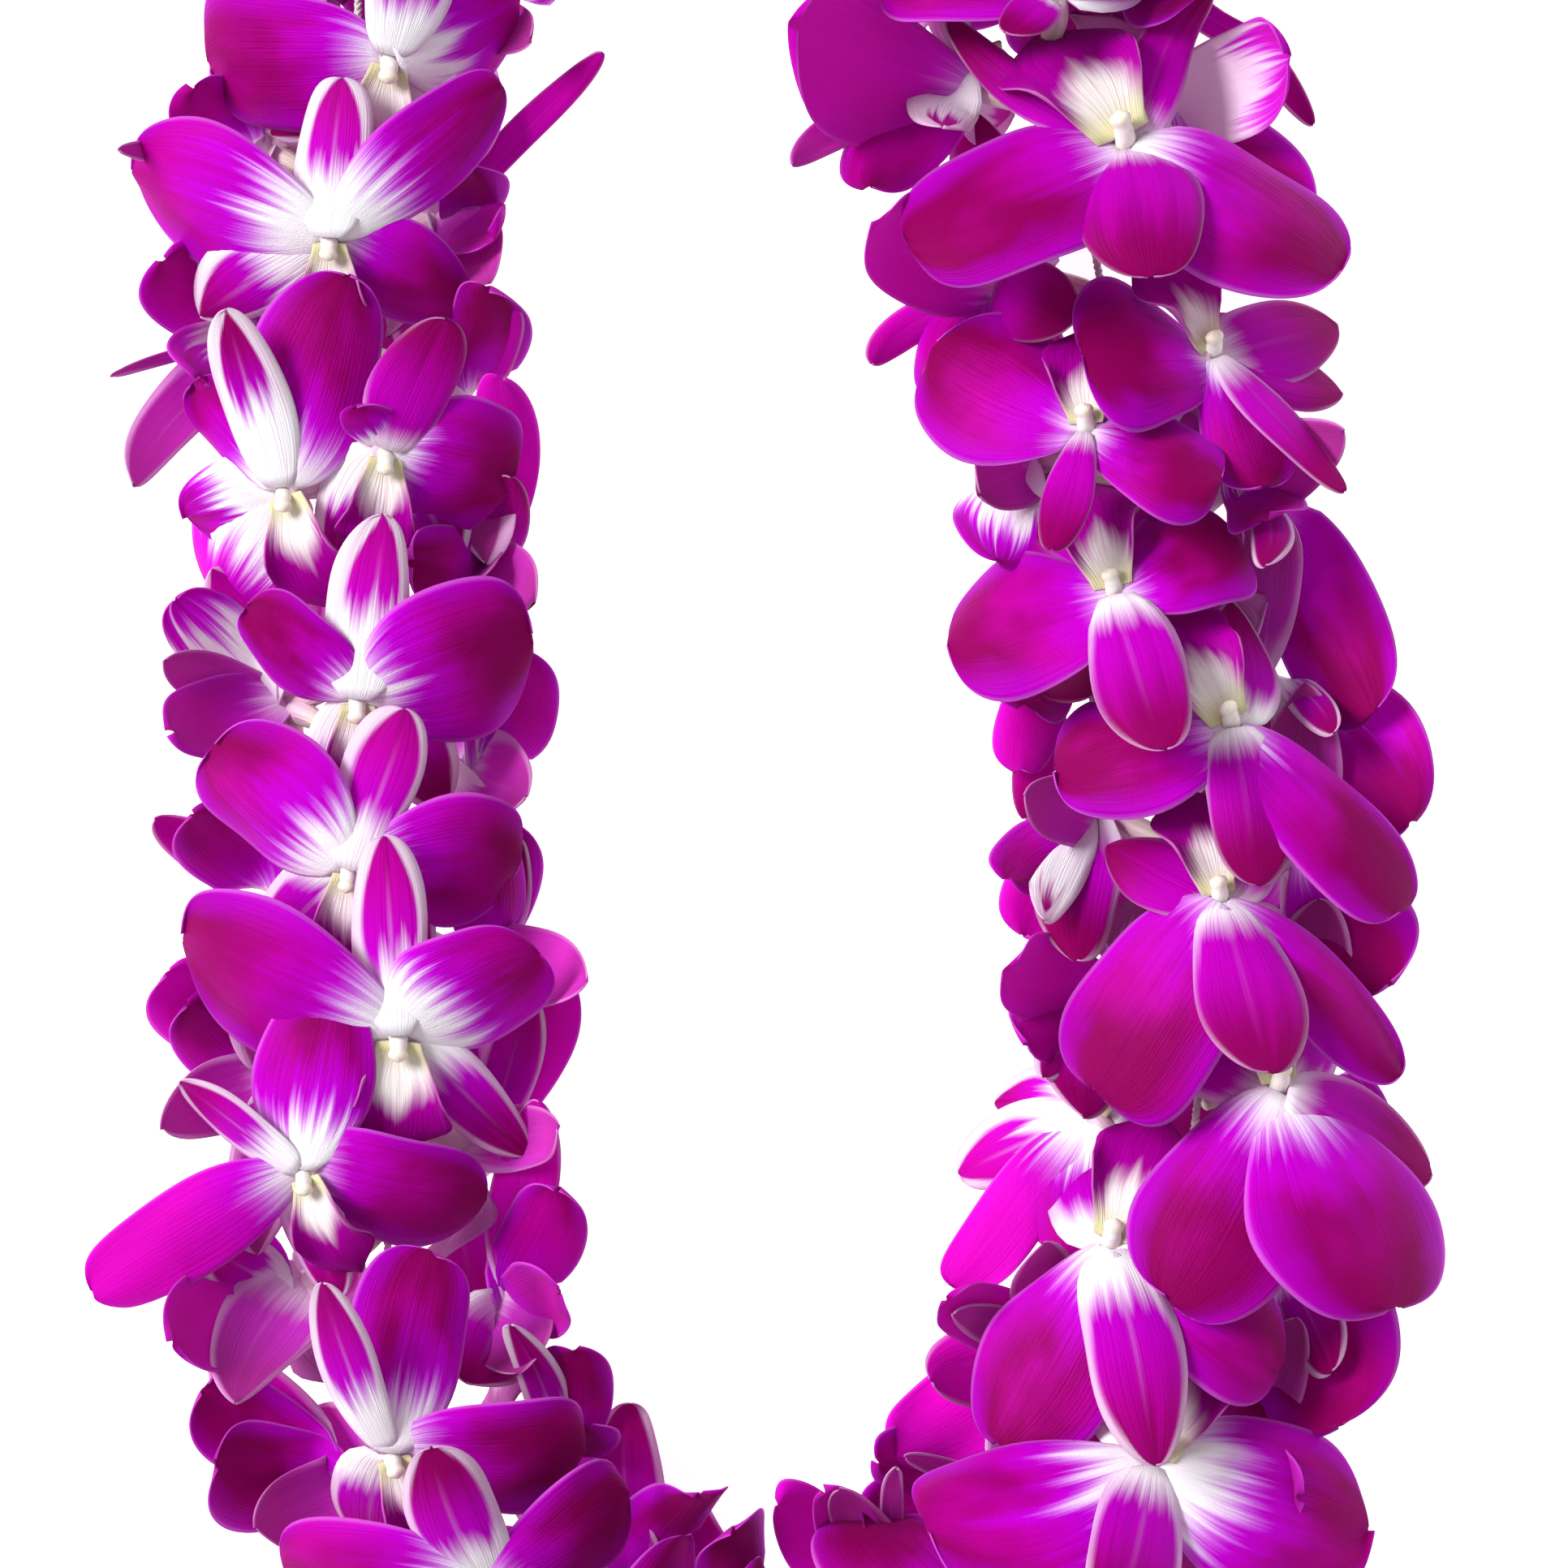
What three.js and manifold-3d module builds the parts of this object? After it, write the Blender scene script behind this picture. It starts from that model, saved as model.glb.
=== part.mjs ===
// Fresh orchid lei: ninety-six dendrobium orchids strung close together on one cotton string that is tied into a
// long loop, laid flat on a table. Millimetres, +Z up, the loop in the XY plane with its rounded bottom towards -Y.
//
// The string runs clockwise seen from above. The orchids wind round it in three rows: row 0 looks up, rows 1 and 2
// look down and out on the right and on the left of travel. Three orchids next to each other, one of each row, are
// a whorl. Each orchid is a tilted dish whose dorsal sepal points along the string, so the dishes lie over each
// other like roof tiles. An orchid's own coordinates are (a, b, c): a to its right, b towards its dorsal sepal, c
// out of its face, with the throat at the origin.
import * as THREE from "three";
import Module from "manifold-3d";
import { mergeVertices } from "three/addons/utils/BufferGeometryUtils.js";

// Driving dimensions of the whole lei.
const WHORLS = 32; // three orchids each
const FIRST_WHORL = 0.7; // its place after the route's start, in whorls
const STRING_HEIGHT = 21; // of the string's middle over the table
const STRING_RADIUS = 0.7;
const STRING_SIDES = 6;
const BORE_RADIUS = 1.5; // of the four-sided hole for the string, to its corners
const CORE_RADIUS = 5.6; // of the packed stalk ends round the string
const CORE_SIDES = 4;
const CORE_LEAD = 7; // of the stalk ends before the whorl's middle, along the string
const CORE_GAP = 1; // along the string, between one whorl's stalk ends and the next
const KNOT_WHORL = 15; // the knot is after this whorl
const KNOT_GAP = 6;
const KNOT_RADIUS = 1.9;

// Driving dimensions of how an orchid sits on the string.
const TILT = THREE.MathUtils.degToRad(33); // of its face from the string's direction
const ROLL = 0.075; // its right side stands out this much per millimetre, so that the petals pass each other
const THROAT_RADIUS = 16; // from the string's middle to the throat
const WRAP_RADIUS = 32; // the face bends back round the string this much
const ROW_ANGLE = 120; // degrees between the rows
const PETAL_THICKNESS = 0.9;
const NEIGHBOUR_GAP = 0.35; // kept between the orchids of two whorls
const FREE_HEIGHT = 10; // what is lower than this is pressed towards the table
const PRESS = 0.0217; // how much more the lowest petals are pressed, per millimetre

// The string's route, chosen by hand: clockwise from the bottom of the loop, and moved to centre the whole lei.
const ROUTE_SHIFT = [2, -1.9];
const ROUTE = [
  [-3, -199], [-29, -190], [-46, -169], [-56, -144], [-61, -116], [-62, -84],
  [-61.5, -48], [-63, -12], [-65, 24], [-64, 60], [-63.5, 101], [-61, 140],
  [-51, 174], [-32, 195], [-9, 203], [13, 196], [29, 176], [36, 142],
  [37.5, 101], [39, 60], [45, 36], [51, 0], [58, -36], [62.5, -66],
  [63, -96], [60.5, -120], [55.5, -144], [43.5, -170], [23, -190],
];

// An orchid's parts at size 1. angle is from the dorsal sepal, in degrees; lift is the part's slope out of the face
// at its root and curl how it bends back from there, in 1/mm. Stations are shares of its length and of its width.
const HUB_RADIUS = 3.4;
const SEPAL_STATIONS = [[0.46, 1], [1, 0]];
const PETAL_STATIONS = [[0.42, 1], [0.8, 0.9], [0.99, 0.36]];
const LIP_STATIONS = [[0.5, 0.8], [1, 0.75]];
const TEPALS = [
  { name: "dorsal sepal", angle: 0, length: 27, width: 12.5, stations: SEPAL_STATIONS, lift: 0.05, curl: 0.006 },
  { name: "right petal", angle: 70, length: 29, width: 26, stations: PETAL_STATIONS, lift: 0, curl: 0.016 },
  { name: "right sepal", angle: 140, length: 24, width: 12.5, stations: SEPAL_STATIONS, lift: -0.12, curl: 0 },
  { name: "lip", angle: 180, length: 17, width: 11, stations: LIP_STATIONS, lift: 0.75, curl: 0.06 },
  { name: "left sepal", angle: 220, length: 24, width: 12.5, stations: SEPAL_STATIONS, lift: -0.12, curl: 0 },
  { name: "left petal", angle: 290, length: 29, width: 26, stations: PETAL_STATIONS, lift: 0, curl: 0.016 },
];
const COLUMN_HEIGHT = 6;
const ROOT_LEAD = 7; // of the stalk's sunk end along the string, from the orchid's own place
const ROOT_RADIUS = 3; // of the stalk's sunk end from the string's middle
const ROOT_SPREAD = 1.5; // of its three corners from its own middle

// Orchids on the upper side that lean their own way: [whorl, row, x, y, turn, size, spread]. x and y are where the
// orchid's throat lies, turn is in degrees, spread is of the two petals.
const LEANING = [
  [2, 0, -56.3, -156.8, 6, 0.9, 0.9], [3, 0, -69.5, -115.4, -4, 0.85, 1], [4, 0, -55.1, -95, -5, 0.95, 1],
  [5, 0, -62.3, -70.4, 10, 0.85, 1], [6, 0, -61.1, -45.2, 3, 0.9, 0.95],
  [7, 0, -56.9, -8.6, 4, 0.85, 0.9], [7, 2, -72.5, -14, 0, 0.85, 1], [8, 0, -65.3, 23.2, 3, 0.88, 0.92],
  [9, 0, -56.3, 49.6, 0, 0.95, 1], [22, 0, 52.9, 37, -8, 1.08, 0.93], [23, 0, 46.9, -5.6, -4, 0.95, 1],
  [23, 2, 66.4, 6.4, -6, 0.9, 1], [24, 0, 51.1, -29.6, -16, 0.9, 1], [25, 0, 68.5, -49.4, -12, 0.95, 1],
  [26, 0, 66.7, -75.2, -12, 0.9, 1], [27, 0, 75.7, -103.4, 2, 1.02, 0.55],
  [27, 1, 44.5, -107.2, 0, 0.9, 1], [28, 0, 50.5, -126.8, -10, 1.02, 0.85],
  [29, 0, 56.5, -158, 14, 1.05, 0.95],
];

const up = new THREE.Vector3(0, 0, 1);
const radians = THREE.MathUtils.degToRad;
const wasm = await Module();
wasm.setup();

const route = new THREE.CatmullRomCurve3(
  ROUTE.map(([x, y]) => new THREE.Vector3(x + ROUTE_SHIFT[0], y + ROUTE_SHIFT[1], STRING_HEIGHT)),
  true, "catmullrom", 0.5,
);
route.arcLengthDivisions = 2900;
const ROUTE_LENGTH = route.getLength();
const PITCH = ROUTE_LENGTH / WHORLS;

const whorlPlace = (whorl) => (whorl + FIRST_WHORL) * PITCH;

const routeShare = (s) => (((s / ROUTE_LENGTH) % 1) + 1) % 1;
const routePoint = (s) => route.getPointAt(routeShare(s));

// The direction of travel, and how fast it turns to the right, taken over a few millimetres of string.
function routeTangent(s) {
  const reach = 4;
  return routePoint(s + reach).sub(routePoint(s - reach)).normalize();
}
function routeTurn(s) {
  const reach = 12;
  const before = routeTangent(s - reach);
  const after = routeTangent(s + reach);
  return -before.cross(after).z / (2 * reach);
}

// A repeatable draw from -1 to 1 for one orchid and one use.
function draw(orchid, use) {
  const wave = Math.sin(orchid * 12.9898 + use * 78.233) * 43758.5453;
  return 2 * (wave - Math.floor(wave)) - 1;
}

// The place along the string and the angle round it that bring a throat over (x, y): the string's nearest place
// within a pitch of the regular one, and the angle that puts the throat as far to the right of travel.
function seatUnder(x, y, place) {
  const step = 0.1;
  const throat = new THREE.Vector3(x, y, STRING_HEIGHT);
  let station = place - PITCH;
  for (let s = station; s < place + PITCH; s += step) {
    if (routePoint(s).distanceTo(throat) < routePoint(station).distanceTo(throat)) station = s;
  }
  const right = routeTangent(station).cross(up).normalize();
  const aside = throat.sub(routePoint(station)).dot(right);
  return [station, Math.asin(THREE.MathUtils.clamp(aside / THROAT_RADIUS, -1, 1))];
}

// Where an orchid sits: its place along the string, its angle round it (0 looks up, positive looks to the right
// of travel), its turn in its own face, its size and the spread of its petals.
function orchidSeat(index) {
  const row = index % 3;
  const whorl = (index - row) / 3;
  const place = whorlPlace(whorl) + [0, 1 / 3, -1 / 3][row] * PITCH;
  const own = LEANING.find((entry) => entry[0] === whorl && entry[1] === row);
  const [station, angle] = own ? seatUnder(own[2], own[3], place) : [
    place + 1.5 * draw(index, 1),
    radians([0, ROW_ANGLE, -ROW_ANGLE][row] + 8 * draw(index, 2)),
  ];
  const [turn, size, spread] = own ? own.slice(4) : [
    7 * draw(index, 3),
    0.97 + 0.05 * draw(index, 4),
    1 + 0.05 * draw(index, 5),
  ];
  const inward = THROAT_RADIUS * 1.25 * Math.sin(angle);
  const stretch = Math.pow(Math.max(0.3, 1 - routeTurn(station) * inward), -0.7);
  return { station, root: place + ROOT_LEAD, angle, turn: radians(turn), size, spread, stretch };
}

// Below FREE_HEIGHT the petals are pressed together by the weight, and the lowest lie flat on the table.
function pressed(point) {
  const depth = FREE_HEIGHT - point.z;
  if (depth > 0) point.z = FREE_HEIGHT - depth + PRESS * depth * depth;
  point.z = Math.max(point.z, PETAL_THICKNESS / 2);
  return point;
}

// The point at a station of the string, height out from its middle at an angle round it, and across from there.
function atString(station, angle, height, across) {
  const right = routeTangent(station).cross(up).normalize();
  const radial = up.clone().multiplyScalar(Math.cos(angle)).addScaledVector(right, Math.sin(angle));
  const round = right.clone().multiplyScalar(Math.cos(angle)).addScaledVector(up, -Math.sin(angle));
  return routePoint(station).addScaledVector(radial, height).addScaledVector(round, across);
}

// The place in the lei of a point (a, b, c) of an orchid.
function placed(seat, a, b, c) {
  const across = seat.size * (a * Math.cos(seat.turn) + b * Math.sin(seat.turn));
  const ahead = seat.size * (b * Math.cos(seat.turn) - a * Math.sin(seat.turn));
  const front = seat.size * c + ROLL * across;
  const along = ahead * Math.cos(TILT) - front * Math.sin(TILT);
  const reach = WRAP_RADIUS + ahead * Math.sin(TILT) + front * Math.cos(TILT);
  const bend = across / WRAP_RADIUS;
  const height = THROAT_RADIUS - WRAP_RADIUS + reach * Math.cos(bend);
  const point = atString(seat.station + seat.stretch * along, seat.angle, height, reach * Math.sin(bend));
  return pressed(point);
}

// The two faces' points where a blade's middle surface is at(p, q): half the thickness each way along the normal.
function bothFaces(at, p, q, thickness) {
  const step = 0.4;
  const middle = at(p, q);
  const normal = at(p + step, q).sub(at(p - step, q)).cross(at(p, q + step).sub(at(p, q - step))).normalize();
  const lies = middle.z <= PETAL_THICKNESS / 2 + 1e-6 && Math.abs(normal.z) > 0.2;
  if (lies) normal.set(0, 0, Math.sign(normal.z));
  return [
    middle.clone().addScaledVector(normal, thickness / 2),
    middle.clone().addScaledVector(normal, -thickness / 2),
  ];
}

// One tepal or lip: its outline's points from the hub to the tip, as pairs (left, right) on both faces.
function tepalRims(seat, tepal, grow, thickness) {
  const fromDorsal = tepal.angle > 180 ? tepal.angle - 360 : tepal.angle;
  const direction = radians(fromDorsal * (tepal.name.endsWith("petal") ? seat.spread : 1));
  const length = tepal.length + grow;
  const at = (w, l) => {
    const reach = HUB_RADIUS + l;
    const a = reach * Math.sin(direction) + w * Math.cos(direction);
    const b = reach * Math.cos(direction) - w * Math.sin(direction);
    const c = tepal.lift * l - 0.5 * tepal.curl * l * l;
    return placed(seat, a, b, c);
  };
  return tepal.stations.map(([share, width]) => {
    const half = (tepal.width / 2) * width + grow;
    return [bothFaces(at, -half, length * share, thickness), bothFaces(at, half, length * share, thickness)];
  });
}

// An orchid as one closed body: a six-sided hub that six blades leave by its edges, the column standing on the
// hub, and the stalk that runs back from it to the string. grow makes it that much larger all over.
function orchidSolid(index, grow) {
  const seat = orchidSeat(index);
  const thickness = PETAL_THICKNESS + 2 * grow;
  const corners = [];
  const faces = [];
  const add = (point) => corners.push(point) - 1;
  const triangle = (i, j, k) => (i !== j && j !== k && k !== i ? faces.push(i, j, k) : 0);
  const quad = (i, j, k, l) => {
    triangle(i, j, k);
    triangle(i, k, l);
  };
  const hubAt = (a, b) => placed(seat, a, b, 0);
  const hub = TEPALS.map((tepal, i) => {
    const before = TEPALS[(i + TEPALS.length - 1) % TEPALS.length].angle - (i === 0 ? 360 : 0);
    const middle = radians((tepal.angle + before) / 2);
    const radius = HUB_RADIUS + grow;
    return bothFaces(hubAt, radius * Math.sin(middle), radius * Math.cos(middle), thickness).map(add);
  });
  const columnTip = add(placed(seat, 0, -1, COLUMN_HEIGHT + grow));
  TEPALS.forEach((tepal, i) => {
    const left = hub[i];
    const right = hub[(i + 1) % hub.length];
    triangle(left[0], columnTip, right[0]);
    let [l, r] = [left, right];
    for (const [nextLeft, nextRight] of tepalRims(seat, tepal, grow, thickness)) {
      const nl = nextLeft.map(add);
      const nr = nextLeft[0].equals(nextRight[0]) ? nl : nextRight.map(add);
      quad(l[0], r[0], nr[0], nl[0]);
      quad(l[1], nl[1], nr[1], r[1]);
      quad(l[0], nl[0], nl[1], l[1]);
      quad(r[0], r[1], nr[1], nr[0]);
      [l, r] = [nl, nr];
    }
    quad(l[0], r[0], r[1], l[1]);
  });
  // The stalk narrows from the hub's six corners to the three of its end, sunk among the other stalk ends.
  const root = [30, 150, 270].map((degrees) => {
    const spread = ROOT_SPREAD + grow;
    const station = seat.root + spread * Math.cos(radians(degrees));
    return add(atString(station, seat.angle, ROOT_RADIUS, spread * Math.sin(radians(degrees))));
  });
  root.forEach((corner, i) => {
    const [first, second, third] = [hub[2 * i][1], hub[2 * i + 1][1], hub[(2 * i + 2) % 6][1]];
    triangle(corner, first, second);
    triangle(corner, second, third);
    triangle(corner, third, root[(i + 1) % 3]);
  });
  triangle(root[0], root[1], root[2]);
  return solidFrom(corners, faces);
}

function solidFrom(corners, faces) {
  const geometry = new THREE.BufferGeometry();
  geometry.setAttribute("position", new THREE.Float32BufferAttribute(corners.flatMap((p) => [p.x, p.y, p.z]), 3));
  geometry.setIndex(faces);
  return manifoldOf(geometry);
}

function manifoldOf(geometry) {
  const bare = geometry.clone();
  bare.deleteAttribute("normal");
  bare.deleteAttribute("uv");
  const merged = mergeVertices(bare, 1e-3);
  return new wasm.Manifold(new wasm.Mesh({
    numProp: 3,
    vertProperties: merged.attributes.position.array,
    triVerts: new Uint32Array(merged.index.array),
  }));
}

// A tube of flat sides along the string's route, straight from each station to the next.
function tubeSolid(stations, radius, sides, closed) {
  const corners = [];
  const faces = [];
  const rings = stations.map((s) => {
    const middle = routePoint(s);
    const right = routeTangent(s).cross(up).normalize();
    return Array.from({ length: sides }, (_, i) => {
      const turn = ((i + 0.5) / sides) * 2 * Math.PI;
      const corner = middle.clone().addScaledVector(up, radius * Math.cos(turn));
      return corners.push(corner.addScaledVector(right, radius * Math.sin(turn))) - 1;
    });
  });
  const spans = closed ? rings.length : rings.length - 1;
  for (let k = 0; k < spans; k++) {
    const [ring, next] = [rings[k], rings[(k + 1) % rings.length]];
    for (let i = 0; i < sides; i++) {
      const j = (i + 1) % sides;
      faces.push(ring[i], next[j], next[i], ring[i], ring[j], next[j]);
    }
  }
  if (!closed) {
    const [first, last] = [rings[0], rings[rings.length - 1]];
    for (let i = 1; i < sides - 1; i++) {
      faces.push(first[0], first[i + 1], first[i], last[0], last[i], last[i + 1]);
    }
  }
  return solidFrom(corners, faces);
}

// Where a whorl's packed stalk ends begin and stop along the string.
function coreSpan(whorl, grow) {
  const gap = whorl === KNOT_WHORL ? KNOT_GAP : CORE_GAP;
  return [whorlPlace(whorl) - CORE_LEAD - grow, whorlPlace(whorl + 1) - CORE_LEAD - gap + grow];
}

// The string bends between the whorls, half-way from one's stalk ends to the next one's.
const bendPlace = (whorl) => (coreSpan(whorl, 0)[1] + coreSpan(whorl + 1, 0)[0]) / 2;

// Three orchids and their packed stalk ends as one body. grow makes it that much larger all over.
function whorlSolid(whorl, grow) {
  const core = tubeSolid(coreSpan(whorl, grow), CORE_RADIUS + grow, CORE_SIDES, false);
  const orchids = [0, 1, 2].map((row) => orchidSolid(3 * whorl + row, grow));
  return wasm.Manifold.union([core, ...orchids]);
}

// The string with its knot.
function stringSolid() {
  const stations = Array.from({ length: WHORLS }, (_, k) => bendPlace(k));
  const middle = routePoint(bendPlace(KNOT_WHORL));
  const knot = new THREE.IcosahedronGeometry(KNOT_RADIUS, 0).translate(middle.x, middle.y, middle.z);
  return tubeSolid(stations, STRING_RADIUS, STRING_SIDES, true).add(manifoldOf(knot));
}

// Without the scraps of petal that a cut leaves loose.
function largestBody(solid) {
  return solid.decompose().reduce((best, body) => (body.volume() > best.volume() ? body : best));
}

// Each whorl is bored for the string and cut back where an earlier whorl's petals, grown by the gap, reach it.
function whorls() {
  const grown = Array.from({ length: WHORLS }, (_, k) => whorlSolid(k, NEIGHBOUR_GAP));
  return Array.from({ length: WHORLS }, (_, k) => {
    const bore = tubeSolid([bendPlace(k - 1), bendPlace(k)], BORE_RADIUS, CORE_SIDES, false);
    let solid = whorlSolid(k, 0).subtract(bore);
    for (const step of [1, 2, 3, WHORLS - 3, WHORLS - 2, WHORLS - 1]) {
      const other = k - step;
      if (other >= 0) solid = solid.subtract(grown[other]);
    }
    return largestBody(solid);
  });
}

function meshOf(name, solid, material) {
  const { vertProperties, triVerts, numProp } = solid.getMesh();
  const positions = new Float32Array((vertProperties.length / numProp) * 3);
  for (let i = 0; i < positions.length / 3; i++) {
    positions.set(vertProperties.subarray(i * numProp, i * numProp + 3), i * 3);
  }
  const geometry = new THREE.BufferGeometry();
  geometry.setAttribute("position", new THREE.BufferAttribute(positions, 3));
  geometry.setIndex(new THREE.BufferAttribute(new Uint32Array(triVerts), 1));
  geometry.computeVertexNormals();
  const mesh = new THREE.Mesh(geometry, material);
  mesh.name = name;
  return mesh;
}

const lei = new THREE.Group();
const petalMaterial = new THREE.MeshStandardMaterial({ color: 0xb4009c, roughness: 0.5, metalness: 0 });
const cottonMaterial = new THREE.MeshStandardMaterial({ color: 0xf1ece0, roughness: 0.95, metalness: 0 });
whorls().forEach((solid, k) => {
  lei.add(meshOf(`orchids_${String(k + 1).padStart(2, "0")}`, solid, petalMaterial));
});
lei.add(meshOf("string", stringSolid(), cottonMaterial));

export default lei;
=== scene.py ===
"""The looks of a fresh orchid lei: its fine petals, lips, columns and stalks, and its twisted string."""

import math

import bpy
import numpy as np
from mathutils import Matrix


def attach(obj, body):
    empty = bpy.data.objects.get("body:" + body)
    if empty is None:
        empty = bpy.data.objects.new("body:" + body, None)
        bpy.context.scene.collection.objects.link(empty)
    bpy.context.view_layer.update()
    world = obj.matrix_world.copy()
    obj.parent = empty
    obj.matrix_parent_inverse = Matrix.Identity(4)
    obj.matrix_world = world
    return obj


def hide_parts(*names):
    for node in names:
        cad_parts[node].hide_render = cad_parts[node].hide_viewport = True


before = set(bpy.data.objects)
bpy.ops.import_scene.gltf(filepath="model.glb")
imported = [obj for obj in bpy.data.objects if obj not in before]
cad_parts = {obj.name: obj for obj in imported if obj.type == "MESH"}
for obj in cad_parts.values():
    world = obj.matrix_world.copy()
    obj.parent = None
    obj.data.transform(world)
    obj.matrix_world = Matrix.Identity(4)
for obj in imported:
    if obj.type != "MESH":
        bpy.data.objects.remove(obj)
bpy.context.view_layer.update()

# The lei's own sizes in millimetres and degrees, the same as its solids have. LEANING gives orchids that lean
# as the photograph shows their throat's x and y, their turn, their size and how widely their petals spread.
WHORLS = 32
FIRST_WHORL = 0.7
STRING_HEIGHT = 21
CORE_LEAD = 7
CORE_GAP = 1
KNOT_WHORL = 15
KNOT_GAP = 6
TILT = math.radians(33)
ROLL = 0.075
THROAT_RADIUS = 16
WRAP_RADIUS = 32
ROW_ANGLE = 120
FREE_HEIGHT = 10
PRESS = 0.0217
LOWEST = 0.3
ROUTE_SHIFT = (2, -1.9)
ROUTE = np.array([
    (-3, -199), (-29, -190), (-46, -169), (-56, -144), (-61, -116), (-62, -84),
    (-61.5, -48), (-63, -12), (-65, 24), (-64, 60), (-63.5, 101), (-61, 140),
    (-51, 174), (-32, 195), (-9, 203), (13, 196), (29, 176), (36, 142),
    (37.5, 101), (39, 60), (45, 36), (51, 0), (58, -36), (62.5, -66),
    (63, -96), (60.5, -120), (55.5, -144), (43.5, -170), (23, -190),
]) + ROUTE_SHIFT
HUB_RADIUS = 3.4
ROOT_LEAD = 7
LEANING = {
    (2, 0): (-56.3, -156.8, 6, 0.9, 0.9), (3, 0): (-69.5, -115.4, -4, 0.85, 1),
    (4, 0): (-55.1, -95, -5, 0.95, 1), (5, 0): (-62.3, -70.4, 10, 0.85, 1),
    (6, 0): (-61.1, -45.2, 3, 0.9, 0.95), (7, 0): (-56.9, -8.6, 4, 0.85, 0.9),
    (7, 2): (-72.5, -14, 0, 0.85, 1), (8, 0): (-65.3, 23.2, 3, 0.88, 0.92),
    (9, 0): (-56.3, 49.6, 0, 0.95, 1), (22, 0): (52.9, 37, -8, 1.08, 0.93),
    (23, 0): (46.9, -5.6, -4, 0.95, 1), (23, 2): (66.4, 6.4, -6, 0.9, 1),
    (24, 0): (51.1, -29.6, -16, 0.9, 1), (25, 0): (68.5, -49.4, -12, 0.95, 1),
    (26, 0): (66.7, -75.2, -12, 0.9, 1), (27, 0): (75.7, -103.4, 2, 1.02, 0.55),
    (27, 1): (44.5, -107.2, 0, 0.9, 1), (28, 0): (50.5, -126.8, -10, 1.02, 0.85),
    (29, 0): (56.5, -158, 14, 1.05, 0.95),
}

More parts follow.
